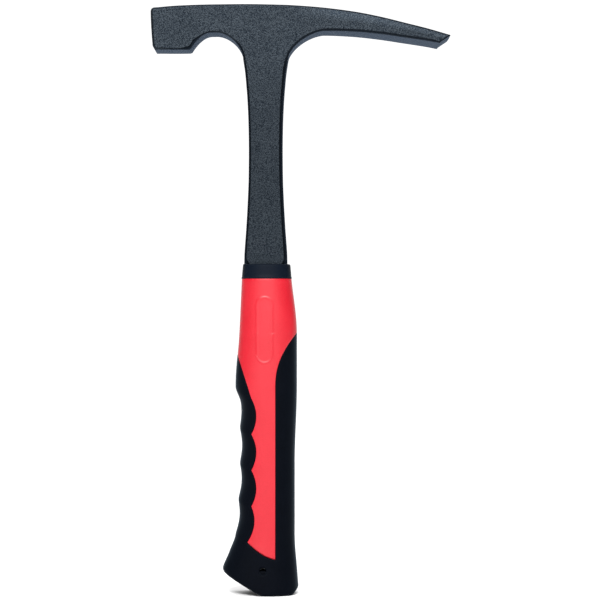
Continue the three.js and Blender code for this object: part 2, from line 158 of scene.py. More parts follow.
def cell_corners(row: Array, column: Array, after: Array, columns: int) -> list[Array]:
    """Vertex numbers at the four corners of the cells, in order round each cell."""
    low, high = row * columns, (row + 1) * columns
    return [low + column, low + after, high + after, high + column]


def grid_quads(rows: int, columns: int, wrap: bool) -> Array:
    """Quads of a grid of vertices numbered row by row.

    Args:
        rows: Rows of vertices.
        columns: Columns of vertices.
        wrap: True if the last column joins the first.

    Returns:
        Vertex numbers, four a quad.
    """
    row, column = np.meshgrid(np.arange(rows - 1), np.arange(columns - (not wrap)), indexing="ij")
    after = (column + 1) % columns
    return np.stack(cell_corners(row, column, after, columns), -1).reshape(-1, 4)


def signed_volume(mesh: bpy.types.Mesh) -> float:
    """Volume inside a closed mesh in cubic metres, which is negative if the mesh is inside out.

    Args:
        mesh: The mesh.

    Returns:
        The volume in cubic metres.
    """
    mesh.calc_loop_triangles()
    corners = np.empty(len(mesh.loop_triangles) * 3, int)
    mesh.loop_triangles.foreach_get("vertices", corners)
    place = np.empty(len(mesh.vertices) * 3)
    mesh.vertices.foreach_get("co", place)
    a, b, c = place.reshape(-1, 3)[corners.reshape(-1, 3)].transpose(1, 0, 2)
    return float(np.einsum("ij,ij->i", a, np.cross(b, c)).sum() / 6)


def make_piece(name: str, points: Array, quads: Array, masks: dict[str, Array]) -> bpy.types.Object:
    """Puts points and quads into a smooth-shaded mesh whose doubled vertices are welded.

    Args:
        name: The piece's name.
        points: Vertices in millimetres, three numbers each.
        quads: Vertex numbers, four a face.
        masks: Values from 0 to 1 for each vertex, by the name of the attribute that keeps them.

    Returns:
        The new object, at the origin.
    """
    mesh = bpy.data.meshes.new(name)
    mesh.vertices.add(len(points))
    mesh.vertices.foreach_set("co", (points * MM).astype(np.float32).ravel())
    mesh.loops.add(quads.size)
    mesh.loops.foreach_set("vertex_index", quads.astype(np.int32).ravel())
    mesh.polygons.add(len(quads))
    mesh.polygons.foreach_set("loop_start", np.arange(0, quads.size, 4, dtype=np.int32))
    mesh.update(calc_edges=True)
    for label, values in masks.items():
        layer = mesh.attributes.new(label, "FLOAT", "POINT")
        layer.data.foreach_set("value", values.astype(np.float32).ravel())
    work = bmesh.new()
    work.from_mesh(mesh)
    bmesh.ops.remove_doubles(work, verts=work.verts, dist=WELD_MM * MM)
    bmesh.ops.dissolve_degenerate(work, edges=work.edges, dist=WELD_MM * MM / 5)
    open_edges = sum(not edge.is_manifold for edge in work.edges)
    work.to_mesh(mesh)
    work.free()
    mesh.polygons.foreach_set("use_smooth", np.ones(len(mesh.polygons), bool))
    piece = bpy.data.objects.new(name, mesh)
    bpy.context.scene.collection.objects.link(piece)
    volume = signed_volume(mesh) * CM3
    LOG.info("%s: %d faces, %d open edges, %.1f cm3", name, len(mesh.polygons), open_edges, volume)
    return piece


# ---- Sizes that come from the frame ----


@dataclass(frozen=True)
class FrameSizes:
    """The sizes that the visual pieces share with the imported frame, in millimetres."""

    face_x: float
    edge_x: float
    crown_z: float
    tang_tip_z: float
    collar_seat_z: float
    collar_top_z: float
    handle_top_z: float

    @classmethod
    def read(cls) -> FrameSizes:
        """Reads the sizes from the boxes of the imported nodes.

        Returns:
            The sizes.
        """
        forging_low, forging_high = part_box("forged_hammer")
        collar_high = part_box("collar")[1]
        core_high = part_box("handle_core")[1]
        seat = core_high.z + SEAT_GAP_MM * MM
        forging = (forging_low.x, forging_high.x, forging_high.z, forging_low.z)
        return cls(*(value / MM for value in (*forging, seat, collar_high.z, core_high.z)))


# ---- Finishes ----


class Sum(Enum):
    """The Math node's operations that the finishes and the room use."""

    ADD = "ADD"
    SUBTRACT = "SUBTRACT"
    MULTIPLY = "MULTIPLY"
    ABSOLUTE = "ABSOLUTE"
    MAXIMUM = "MAXIMUM"


class Mixed(Enum):
    """What a Mix node mixes: its data type, the numbers of its two inputs, and the number of its output."""

    VALUES = ("FLOAT", 2, 3, 0)
    COLOURS = ("RGBA", 6, 7, 2)


class NodeSheet:
    """Adds nodes to a tree and links them, for materials and for node groups."""

    def __init__(self, tree: bpy.types.NodeTree) -> None:
        """Keeps the tree and empties it."""
        self.tree = tree
        tree.nodes.clear()

    def feed(self, socket: Socket, value: object) -> None:
        """Links an output socket to this input, or sets the input to a plain value."""
        if isinstance(value, Socket):
            self.tree.links.new(value, socket)
        else:
            socket.default_value = value

    def add(self, kind: str, inputs: dict[str, object] | None = None, **settings: object) -> bpy.types.Node:
        """Adds a node.

        Args:
            kind: The node's type name.
            inputs: For each input, a plain value or the output socket that feeds it.
            settings: Values for the node's own properties.

        Returns:
            The node.
        """
        node = self.tree.nodes.new(kind)
        for label, value in settings.items():
            setattr(node, label, value)
        for label, value in (inputs or {}).items():
            self.feed(node.inputs[label], value)
        return node

    def noise(self, place: Socket, scale: object, detail: float, rough: float = 0.6) -> Socket:
        """Noise from 0 to 1 at a place, with a scale in waves a metre."""
        inputs = {"Vector": place, "Scale": scale, "Detail": detail, "Roughness": rough}
        return self.add("ShaderNodeTexNoise", inputs, noise_type="FBM").outputs["Fac"]

    def ramp(self, value: Socket, low: float, high: float, to_low: object, to_high: object) -> Socket:
        """A value moved smoothly from the range low to high into the range to_low to to_high."""
        inputs = {"Value": value, "From Min": low, "From Max": high, "To Min": to_low, "To Max": to_high}
        return self.add("ShaderNodeMapRange", inputs, interpolation_type="SMOOTHSTEP").outputs["Result"]

    def calculate(self, how: Sum, a: object, b: object = 0.0) -> Socket:
        """Two values put together by one of the Math node's operations.

        Args:
            how: The operation.
            a: The first value, or the socket that gives it.
            b: The second value, or the socket that gives it.

        Returns:
            The result's socket.
        """
        node = self.add("ShaderNodeMath", operation=how.value)
        self.feed(node.inputs[0], a)
        self.feed(node.inputs[1], b)
        return node.outputs[0]

    def blend(self, mixed: Mixed, share: Socket, a: object, b: object) -> Socket:
        """Mixes two colours or two values: a where the share is 0 and b where it is 1.

        Args:
            mixed: Whether colours or values are mixed.
            share: How far along from the first to the second.
            a: The first value, or the socket that gives it.
            b: The second value, or the socket that gives it.

        Returns:
            The result's socket.
        """
        kind, first, second, result = mixed.value
        node = self.add("ShaderNodeMix", data_type=kind, clamp_factor=True)
        for number, value in ((0, share), (first, a), (second, b)):
            self.feed(node.inputs[number], value)
        return node.outputs[result]


def rgba(colour: tuple[float, float, float]) -> tuple[float, float, float, float]:
    """A colour with full alpha."""
    return (*colour, 1.0)


@dataclass(frozen=True)
class GrainGroup:
    """A node group for surface grain: fine speckles over slow mottling, as a colour, a mask and a normal.

    The speckle is noise at the grain's own size, sharpened so that light and dark specks stand apart. The
    mottling is noise several millimetres wide. The height for the normal is the speckle plus a finer noise.
    """

    name: str = "surface_grain"
    fine_share: float = 2.7
    slow_share: float = 0.06
    speck_rough: float = 0.7
    speck_low: float = 0.36
    speck_high: float = 0.64

    def build(self) -> bpy.types.NodeTree:
        """Builds the group, or finds it if it is there already.

        Returns:
            The group.
        """
        found = bpy.data.node_groups.get(self.name)
        if found:
            return found
        tree = bpy.data.node_groups.new(self.name, "ShaderNodeTree")
        sheet = NodeSheet(tree)
        inputs = {"Vector": "NodeSocketVector", "Dark": "NodeSocketColor", "Light": "NodeSocketColor"}
        inputs |= dict.fromkeys(("Grains per metre", "Contrast", "Mottle", "Depth"), "NodeSocketFloat")
        for label, kind in inputs.items():
            tree.interface.new_socket(label, in_out="INPUT", socket_type=kind)
        results = {"Color": "NodeSocketColor", "Mask": "NodeSocketFloat", "Normal": "NodeSocketVector"}
        for label, kind in results.items():
            tree.interface.new_socket(label, in_out="OUTPUT", socket_type=kind)
        given = sheet.add("NodeGroupInput").outputs
        place, grains = given["Vector"], given["Grains per metre"]
        speck = sheet.noise(place, grains, 2.0, self.speck_rough)
        fine = sheet.noise(place, sheet.calculate(Sum.MULTIPLY, grains, self.fine_share), 1.0)
        slow = sheet.noise(place, sheet.calculate(Sum.MULTIPLY, grains, self.slow_share), 3.0)
        sharp = sheet.ramp(speck, self.speck_low, self.speck_high, 0.0, 1.0)
        drift = sheet.calculate(Sum.MULTIPLY, sheet.calculate(Sum.SUBTRACT, slow, 0.5), given["Mottle"])
        swing = sheet.calculate(Sum.MULTIPLY, sheet.calculate(Sum.SUBTRACT, sharp, 0.5), given["Contrast"])
        mask = sheet.calculate(Sum.ADD, 0.5, sheet.calculate(Sum.ADD, drift, swing))
        height = sheet.calculate(Sum.ADD, sharp, sheet.calculate(Sum.MULTIPLY, fine, 0.5))
        bump = sheet.add("ShaderNodeBump", {"Height": height, "Distance": given["Depth"], "Strength": 1.0})
        colour = sheet.blend(Mixed.COLOURS, mask, given["Dark"], given["Light"])
        sheet.add("NodeGroupOutput", {"Color": colour, "Mask": mask, "Normal": bump.outputs["Normal"]})
        return tree


@dataclass(frozen=True)
class Finish:
    """A moulded or forged surface: a dark and a light tone of one colour, laid out by the grain group.

    Lengths are in millimetres. The roughness runs from rough_low to rough_high with the grain's mask.
    """

    name: str
    slot: str
    dark: tuple[float, float, float]
    light: tuple[float, float, float]
    grain_mm: float
    contrast: float
    mottle: float
    depth_mm: float
    rough_low: float
    rough_high: float
    metallic: float = 0.0
    specular: float = 0.5
    sheen: float = 0.0
    sheen_rough: float = 0.4
    sheen_tint: tuple[float, float, float] = (0.5, 0.75, 1.0)
    specular_tint: tuple[float, float, float] = (1.0, 1.0, 1.0)

    def sheet(self) -> tuple[bpy.types.Material, NodeSheet]:
        """An empty node material of this finish's name.

        Returns:
            The material and its nodes.
        """
        material = bpy.data.materials.new(self.name)
        material.use_nodes = True
        return material, NodeSheet(material.node_tree)

    def grain(self, sheet: NodeSheet) -> bpy.types.Node:
        """Places the grain group with this finish's values.

        Args:
            sheet: The material's nodes.

        Returns:
            The group's node.
        """
        place = sheet.add("ShaderNodeTexCoord").outputs["Object"]
        node = sheet.add("ShaderNodeGroup", node_tree=GrainGroup().build())
        values = {
            "Vector": place,
            "Dark": rgba(self.dark),
            "Light": rgba(self.light),
            "Grains per metre": 1 / (self.grain_mm * MM),
            "Contrast": self.contrast,
            "Mottle": self.mottle,
            "Depth": self.depth_mm * MM,
        }
        for label, value in values.items():
            sheet.feed(node.inputs[label], value)
        return node

    def shader(self, sheet: NodeSheet, colour: Socket, rough: Socket, normal: Socket) -> None:
        """Adds the Principled shader and the material's output.

        Args:
            sheet: The material's nodes.
            colour: Feeds the base colour.
            rough: Feeds the roughness.
            normal: Feeds the normal.
        """
        inputs = {"Base Color": colour, "Roughness": rough, "Normal": normal}
        inputs |= {"Metallic": self.metallic, "Specular IOR Level": self.specular}
        inputs |= {"Specular Tint": rgba(self.specular_tint), "Sheen Weight": self.sheen}
        inputs |= {"Sheen Tint": rgba(self.sheen_tint), "Sheen Roughness": self.sheen_rough}
        made = sheet.add("ShaderNodeBsdfPrincipled", inputs)
        sheet.add("ShaderNodeOutputMaterial", {"Surface": made.outputs["BSDF"]})

    def build(self) -> bpy.types.Material:
        """Builds the material: the grain's colour and normal, and a roughness that follows its mask.

        Returns:
            The material.
        """
        material, sheet = self.sheet()
        grain = self.grain(sheet)
        rough = sheet.ramp(grain.outputs["Mask"], 0.0, 1.0, self.rough_low, self.rough_high)
        self.shader(sheet, grain.outputs["Color"], rough, grain.outputs["Normal"])
        return material


@dataclass(frozen=True)
class ForgedFinish(Finish):
    """Shot-blasted steel whose trimmed side walls are smoother than its cheeks, and coloured lighter and
    bluer as a painted reflection of the pale floor.

    The attribute in wall_mask says how far a point belongs to a side wall, and the second attribute how far
    it lies on an edge darkened with painted shade.
    """

    wall_mask: str = "side_wall"
    # Painted shade: this mask and the dark colour below darken the bevels between cheeks and side walls.
    edge_shade_mask: str = "painted_edge_shade"
    edge_shade_colour: tuple[float, float, float] = (0.004, 0.006, 0.009)
    # Painted reflection: the side walls get a lighter, bluer colour that stands in for the pale floor's
    # light.
    wall_reflection_colour: tuple[float, float, float] = (0.052, 0.062, 0.080)
    wall_rough: float = 0.55
    wall_reflection_share: float = 0.55

    def build(self) -> bpy.types.Material:
        """Builds the material: grain on the cheeks, mixed into a lighter plain tone of painted reflection
        where the side walls begin, and darkened by painted shade on the edges.

        Returns:
            The material.
        """
        material, sheet = self.sheet()
        grain = self.grain(sheet)
        wall = sheet.add("ShaderNodeAttribute", attribute_name=self.wall_mask).outputs["Fac"]
        edge = sheet.add("ShaderNodeAttribute", attribute_name=self.edge_shade_mask).outputs["Fac"]
        # Painted reflection: the side walls are mixed towards their lighter colour.
        share = sheet.calculate(Sum.MULTIPLY, wall, self.wall_reflection_share)
        colour = sheet.blend(Mixed.COLOURS, share, grain.outputs["Color"], rgba(self.wall_reflection_colour))
        # Painted shade: the edges are darkened towards the dark edge colour.
        colour = sheet.blend(Mixed.COLOURS, edge, colour, rgba(self.edge_shade_colour))
        rough = sheet.ramp(grain.outputs["Mask"], 0.0, 1.0, self.rough_low, self.rough_high)
        rough = sheet.blend(Mixed.VALUES, wall, rough, self.wall_rough)
        self.shader(sheet, colour, rough, grain.outputs["Normal"])
        return material


STEEL = ForgedFinish(
    name="shot_blasted_steel",
    slot="forged_steel",
    dark=(0.004, 0.006, 0.009),
    light=(0.0265, 0.0325, 0.0385),
    grain_mm=0.6,
    contrast=0.9,
    mottle=0.4,
    depth_mm=0.045,
    rough_low=0.34,
    rough_high=0.42,
    metallic=0.75,
    specular=0.16,
    specular_tint=(0.4, 0.5, 0.65),
)
RED_PLASTIC = Finish(
    name="satin_red_plastic",
    slot="handle_plastic",
    dark=(0.38, 0.0022, 0.010),
    light=(0.445, 0.0048, 0.0155),
    grain_mm=0.5,
    contrast=0.5,
    mottle=0.8,
    depth_mm=0.008,
    rough_low=0.36,
    rough_high=0.46,
    specular=0.4,
)
GRIP_RUBBER = Finish(
    name="matt_grip_rubber",
    slot="grip_rubber",
    dark=(0.0004, 0.0008, 0.0020),
    light=(0.0014, 0.0022, 0.0044),
    grain_mm=0.6,
    contrast=0.5,
    mottle=0.9,
    depth_mm=0.012,
    rough_low=0.5,
    rough_high=0.62,
    specular=0.025,
    sheen=0.07,
)
COLLAR_RUBBER = Finish(
    name="smooth_collar_rubber",
    slot="collar_rubber",
    dark=(0.0015, 0.0035, 0.0080),
    light=(0.0030, 0.0055, 0.0105),
    grain_mm=0.8,
    contrast=0.4,
    mottle=0.9,
    depth_mm=0.006,
    rough_low=0.45,
    rough_high=0.6,
    specular=0.05,
)


# ---- Forging ----


@dataclass(frozen=True)
class EdgeStyle:
    """How the forging's edge between a cheek and a side wall is dressed.

    The edge is a quarter of a superoval: its width lies on the cheek and its depth on the side wall. A
    roundness of 1 is a flat chamfer and 2 is a round. The shade says how strongly painted shade darkens the
    edge's colour, from 0 to 1.
    """

    width: float
    depth: float
    roundness: float
    shade: float = 1.0

    def values(self) -> tuple[float, float, float, float]:
        """Width, depth, roundness and shade."""
        return self.width, self.depth, self.roundness, self.shade


@dataclass
class Forging:
    """The steel forging: striking poll, neck, claw, shank and tang as one closed surface.

    In side view a skeleton runs along the middle of the head and down the middle of the shank. Each point
    of the outline is joined to a point of the skeleton by a straight rib. A profile is carried round the
    outline: along the ribs over one cheek, round its edge, across the side wall and back over the other
    cheek. Where ribs of both sides share a skeleton point, their vertices are welded.
    """

    sizes: FrameSizes
    shank_length: float = 114.0
    poll_length: float = 22.2
    poll_foot: float = 4.9
    face_lean: float = 1.1
    face_top_corner: float = 2.0
    face_foot_run: float = 1.3
    face_foot_rise: float = 2.3
    neck_foot: float = 14.4
    neck_curve: float = 11.6
    claw_foot: float = 15.2
    claw_root: float = 34.0
    claw_tip_height: float = 5.8
    claw_bevel_run: float = 5.8
    claw_bevel_rise: float = 3.9
    crown_x: float = -11.0
    head_thickness: float = 22.0
    claw_crown: float = 0.08
    crown_start: float = 8.0
    crown_run: float = 50.0
    crown_power: float = 1.5
    fillet_reach_poll: float = 14.5
    fillet_reach_claw: float = 20.0
    fillet_roundness_poll: float = 1.75
    fillet_roundness_claw: float = 1.6
    root_half: float = 12.6
    foot_half: float = 12.1
    foot_thickness: float = 12.0
    tang_top_half: float = 9.0
    tang_tip_half: float = 6.0
    tang_tip_thickness: float = 8.0
    shoulder_slope: float = 1.6
    draft: float = 0.1
    corner_reach: float = 3.2
    foot_reach: float = 3.2
    least_lean: float = 0.35
    widest_edge: float = 0.62
    widest_support: float = 0.8
    support_gap: float = 0.45
    wall_places: tuple[float, ...] = (-0.93, -0.6, 0.0, 0.6, 0.93)
    fork_rise: float = 5.5
    fan: int = 15
    face_margin: float = 9.0
    tip_margin: float = 3.0
    pitch: float = 1.1
    end_pitch: float = 0.9
    cheek_steps: int = 5
    edge_steps: int = 7
    # The fourth value of each edge style is how strongly painted shade darkens that edge.
    top_edge: EdgeStyle = EdgeStyle(0.6, 0.6, 1.6, 0.8)
    face_edge: EdgeStyle = EdgeStyle(1.0, 1.0, 2.0, 0.1)
    poll_edge: EdgeStyle = EdgeStyle(0.55, 0.5, 1.4)
    corner_edge: EdgeStyle = EdgeStyle(2.2, 1.5, 1.2)
    notch_edge: EdgeStyle = EdgeStyle(0.7, 0.6, 1.5, 0.5)
    left_edge: EdgeStyle = EdgeStyle(1.1, 1.1, 1.35)
    right_edge: EdgeStyle = EdgeStyle(1.75, 1.3, 1.35)
    fillet_edge: EdgeStyle = EdgeStyle(1.0, 0.9, 1.35, 0.9)
    foot_edge: EdgeStyle = EdgeStyle(3.0, 1.8, 1.3)
    claw_edge: EdgeStyle = EdgeStyle(1.1, 1.1, 1.8, 0.8)
    head_z: float = field(init=False)
    top_line: SmoothCurve = field(init=False)
    head_curve: SmoothCurve = field(init=False)
    bar_curve: SmoothCurve = field(init=False)
    half_curve: SmoothCurve = field(init=False)

    def __post_init__(self) -> None:
        """Works out the lines that follow from the sizes."""
        crown, foot = self.sizes.crown_z, self.sizes.collar_top_z
        self.head_z = foot + self.shank_length
        face, edge = self.sizes.face_x, self.sizes.edge_x
        self.top_line = SmoothCurve(
            (
                (face, crown - 1.95),
                (-46.4, crown - 0.7),
                (-30.0, crown - 0.18),
                (self.crown_x, crown),
                (10.0, crown - 0.38),
                (24.0, crown - 1.25),
                (37.0, crown - 2.6),
                (50.5, crown - 4.6),
                (64.0, crown - 7.4),
                (77.3, crown - 10.75),
                (90.0, crown - 14.0),
                (edge, crown - 17.7),
            )
        )
        self.head_curve = SmoothCurve(
            (
                (face, self.head_thickness),
                (self.root_half, self.head_thickness),
                (self.claw_root, 24.5),
                (64.0, 29.0),
                (edge, 30.9),
            )
        )
        self.bar_curve = SmoothCurve(
            (
                (self.sizes.tang_tip_z, self.tang_tip_thickness),
                (foot, self.foot_thickness),
                (self.head_z, self.head_thickness),
                (self.head_z + self.neck_foot, self.head_thickness),
            )
        )
        self.half_curve = SmoothCurve(
            (
                (foot, self.foot_half),
                (foot + 5, 12.0),
                (foot + 12.5, 11.5),
                (foot + 20, 10.95),
                (foot + 36, 10.05),
                (foot + 48, 9.6),
                (self.head_z - 50, 9.45),
                (self.head_z - 36, 9.65),
                (self.head_z - 23, 10.2),
                (self.head_z - 15, 10.8),
                (self.head_z - 7.4, 11.5),
                (self.head_z, self.root_half),
            )
        )

    def underside(self, x: Array) -> Array:
        """Underside of the head: flat poll, parabola up to the neck, straight neck, tapering claw.

        Args:
            x: Places along X.

        Returns:
            Heights of the underside.
        """
        poll_back = self.sizes.face_x + self.poll_length
        neck = poll_back + self.neck_curve
        curve = np.clip(1 - (x - poll_back) / self.neck_curve, 0, 1)
        notch = mix(self.neck_foot, self.poll_foot, curve**2)
        flat = mix(self.neck_foot, self.claw_foot, np.clip((x - neck) / (self.claw_root - neck), 0, 1))
        low = self.head_z + np.where(x <= neck, notch, flat)
        root_height = self.top_line(self.claw_root) - self.head_z - self.claw_foot
        along = np.clip((x - self.claw_root) / (self.sizes.edge_x - self.claw_root), 0, 1)
        claw = self.top_line(x) - mix(root_height, self.claw_tip_height, along)
        return np.where(x <= self.claw_root, low, claw)

    def half_width(self, z: Array) -> Array:
        """Half width of the shank, and below the collar's top of the tang, which has sloping shoulders.

        Args:
            z: Heights.

        Returns:
            Half widths.
        """
        along = (z - self.sizes.tang_tip_z) / (self.sizes.handle_top_z - self.sizes.tang_tip_z)
        tang = mix(self.tang_tip_half, self.tang_top_half, along)
        shoulder = (z - self.sizes.handle_top_z) / (self.sizes.collar_top_z - self.sizes.handle_top_z)
        lower = mix(tang, self.foot_half, np.clip(shoulder * self.shoulder_slope, 0, 1))
        return np.where(z < self.sizes.collar_top_z, lower, self.half_curve(z))

    def half_thickness(self, x: Array, z: Array) -> Array:
        """Half the thickness: the bar's below the head, else the head's, thinner at the claw's top.

        Args:
            x: Places along X.
            z: Heights.

        Returns:
            Half thicknesses.
        """
        head = self.head_curve(x)
        bar = self.bar_curve(np.minimum(z, self.head_z))
        middle = (self.top_line(x) + self.underside(x)) / 2
        height = np.maximum(self.top_line(x) - self.underside(x), 1)
        along = ease((x - self.crown_start) / self.crown_run)
        up = np.clip(2 * (z - middle) / height, 0, 1)
        crown = self.claw_crown * height * along * up**self.crown_power
        return np.where(z < self.head_z, bar, head) / 2 - np.where(z < self.head_z, 0, crown)

    def fillet(self, side: int, steps: int) -> Array:
        """One fillet under the head, from the head's underside down to the shank, as a quarter superoval.

        Args:
            side: -1 for the poll's side and 1 for the claw's.
            steps: Pieces that it is cut into.

        Returns:
            Points (x, z), from the head's underside down.
        """
        reach = self.fillet_reach_poll if side < 0 else self.fillet_reach_claw
        rise = self.neck_foot if side < 0 else self.claw_foot
        turn = np.linspace(QUARTER, 0, steps + 1)
        power = 2 / (self.fillet_roundness_poll if side < 0 else self.fillet_roundness_claw)
        across = side * (self.root_half + reach * (1 - np.cos(turn) ** power))
        return np.stack([across, self.head_z + rise * np.sin(turn) ** power], -1)

    def head_middle(self, x: Array) -> Array:
        """Height of the skeleton along the head: halfway up, and level with the fork over the shank.

        Args:
            x: Places along X.

        Returns:
            Heights of the skeleton.
        """
        left, right = -self.root_half - self.fillet_reach_poll, self.root_half + self.fillet_reach_claw
        root = (x > left) & (x < right)
        return np.where(root, self.fork_z(), (self.top_line(x) + self.underside(x)) / 2)

    def fork_z(self) -> float:
        """Height where the shank's skeleton meets the head's."""
        return float(self.head_z + self.neck_foot + self.fork_rise)

    def ribs(self) -> tuple[Array, Array, Array]:
        """The outline, the skeleton and the edge dressing, rib by rib round the forging.

        The ribs run along the top line to the claw's tip, back under the claw, down the shank's right side,
        round the tang's tip, up its left side, under the neck and the poll, and up the striking face.

        Returns:
            Outline points (x, z), skeleton points (x, z), and edge values (width, depth, roundness, shade).
        """
        left = -self.root_half - self.fillet_reach_poll
        right = self.root_half + self.fillet_reach_claw
        fan = self.fan
        near_face = self.sizes.face_x + self.face_margin
        near_tip = self.sizes.edge_x - self.claw_bevel_run - self.tip_margin
        poll_x = spread(near_face, left, self.pitch)
        claw_x = spread(right, near_tip, self.pitch * 1.2)
        left_fork = np.linspace(left, 0, fan + 1)
        right_fork = np.linspace(0, right, fan + 1)
        drop = np.linspace(self.fork_z(), self.head_z, fan + 1)
        shank_z = np.concatenate(
            [
                spread(self.head_z, self.sizes.collar_top_z + 5, self.pitch * 1.4)[1:],
                spread(self.sizes.collar_top_z + 5, self.sizes.collar_top_z - 1, 0.5)[1:],
                spread(self.sizes.collar_top_z - 1, self.sizes.tang_tip_z + 4, 4.0)[1:],
            ]
        )
        parts: list[tuple[Array, Array, EdgeStyle]] = []

        def along_head(x: Array, line: Array, style: EdgeStyle) -> None:
            """Adds upright ribs between the head's skeleton and an outline line."""
            parts.append((np.stack([x, line], -1), np.stack([x, self.head_middle(x)], -1), style))

        def to_one(points: Array, target: tuple[float, float], style: EdgeStyle) -> None:
            """Adds ribs that all run to one skeleton point."""
            parts.append((points, np.broadcast_to(np.array(target, float), points.shape), style))

        top_x = np.concatenate([poll_x, left_fork[1:], right_fork[1:], claw_x[1:]])
        along_head(top_x, self.top_line(top_x), self.top_edge)
        tip = self.claw_tip(near_tip)
        to_one(tip[1:-1], (near_tip, float(self.head_middle(np.array(near_tip)))), self.top_edge)
        back = claw_x[::-1]
        along_head(back, self.underside(back), self.claw_edge)
        curve = self.fillet(1, 2 * fan)
        skeleton = np.stack([right_fork[::-1], np.full(fan + 1, self.fork_z())], -1)
        parts.append((curve[1 : fan + 1], skeleton[1:], self.fillet_edge))
        lower = np.stack([np.zeros(fan + 1), drop], -1)
        parts.append((curve[fan + 1 :], lower[1:], self.fillet_edge))
        half = self.half_width(shank_z)
        spine = np.stack([np.zeros_like(shank_z), shank_z], -1)
        parts.append((np.stack([half, shank_z], -1), spine, self.right_edge))
        tip_z = self.sizes.tang_tip_z
        end_half = float(self.half_width(np.array(tip_z)))
        foot_x = np.array([end_half, end_half - 2, 0, 2 - end_half, -end_half])
        foot = np.stack([foot_x, tip_z + np.array([2, 0, 0, 0, 2])], -1)
        to_one(foot, (0.0, float(shank_z[-1])), self.left_edge)
        parts.append((np.stack([-half, shank_z], -1)[::-1], spine[::-1], self.left_edge))
        curve = self.fillet(-1, 2 * fan)[::-1]
        parts.append((curve[:fan], lower[::-1][:-1], self.left_edge))
        skeleton = np.stack([left_fork[::-1], np.full(fan + 1, self.fork_z())], -1)
        parts.append((curve[fan : 2 * fan], skeleton[:-1], self.notch_edge))
        under = poll_x[::-1]
        along_head(under, self.underside(under), self.poll_edge)
        near_bone = (near_face, float(self.head_middle(np.array(near_face))))
        to_one(self.striking_face(near_face), near_bone, self.face_edge)
        lines, bones, styles = zip(*parts)
        dressing = [np.tile(style.values(), (len(line), 1)) for line, style in zip(lines, styles)]
        outline = np.concatenate(lines)
        return outline, np.concatenate(bones), self.dressed(outline, np.concatenate(dressing))

    def claw_tip(self, start: float) -> Array:
        """The claw's end: the top line from start, the cutting edge, the bevel and the underside.

        Args:
            start: Where this end begins, along X.

        Returns:
            Points (x, z).
        """
        edge = self.sizes.edge_x
        edge_z = float(self.top_line(edge))
        slope = self.claw_bevel_rise / self.claw_bevel_run
        top = spread(start, edge - 0.12, self.end_pitch)
        under = spread(start, edge - self.claw_bevel_run, self.end_pitch)[::-1]
        bevel_x = np.linspace(edge - 0.02, edge - self.claw_bevel_run, 7)
        bevel_z = edge_z - 0.3 + (bevel_x - edge) * slope
        low = self.underside(under)
        bevel_z = np.maximum(bevel_z, low[0] + 0.25)
        lines = ((top, self.top_line(top)), (bevel_x, bevel_z), (under, low))
        return np.concatenate([np.stack(line, -1) for line in lines])

    def striking_face(self, start: float) -> Array:
        """The poll's end, from its underside up: foot chamfer, leaning face, rounded top corner.

        Args:
            start: Where this end begins, along X.

        Returns:
            Points (x, z).
        """
        face = self.sizes.face_x
        low = self.head_z + self.poll_foot
        under = spread(start, face + self.face_lean + self.face_foot_run, self.end_pitch)[1:]
        high = float(self.top_line(face)) - self.face_top_corner
        rise = np.linspace(0, 1, 14)
        face_z = mix(low + self.face_foot_rise, high, rise)
        face_x = face + self.face_lean * (1 - rise) ** 1.6
        turn = np.linspace(0, QUARTER, 6)[1:]
        corner_x = face + self.face_top_corner * (1 - np.cos(turn))
        corner_z = high + (self.top_line(corner_x) - high) * np.sin(turn)
        top = spread(face + self.face_top_corner, start, self.end_pitch)[1:-1]
        foot, head = (under, np.full_like(under, low)), (top, self.top_line(top))
        lines = (foot, (face_x, face_z), (corner_x, corner_z), head)
        return np.concatenate([np.stack(line, -1) for line in lines])

    def dressed(self, outline: Array, dressing: Array) -> Array:
        """Widens the edge at the poll's inner corner and the shank's foot, and smooths it all round.

        Args:
            outline: The outline's points (x, z).
            dressing: Edge values for each point.

        Returns:
            The changed edge values.
        """
        x, z = outline.T
        corner_x = self.sizes.face_x + self.poll_length
        inner = np.exp(-(((x - corner_x) / self.corner_reach) ** 2)) * (z < self.head_z + self.neck_foot)
        above = z - self.sizes.collar_top_z
        foot = ease(1 - above / self.foot_reach) * (above > -1) * (np.abs(x) > 5)
        for share, style in ((inner, self.corner_edge), (foot, self.foot_edge)):
            dressing = mix(dressing, np.array(style.values()), share[:, None])
        kernel = np.array([1, 2, 3, 2, 1]) / 9
        return sum(k * np.roll(dressing, shift, 0) for k, shift in zip(kernel, range(-2, 3)))

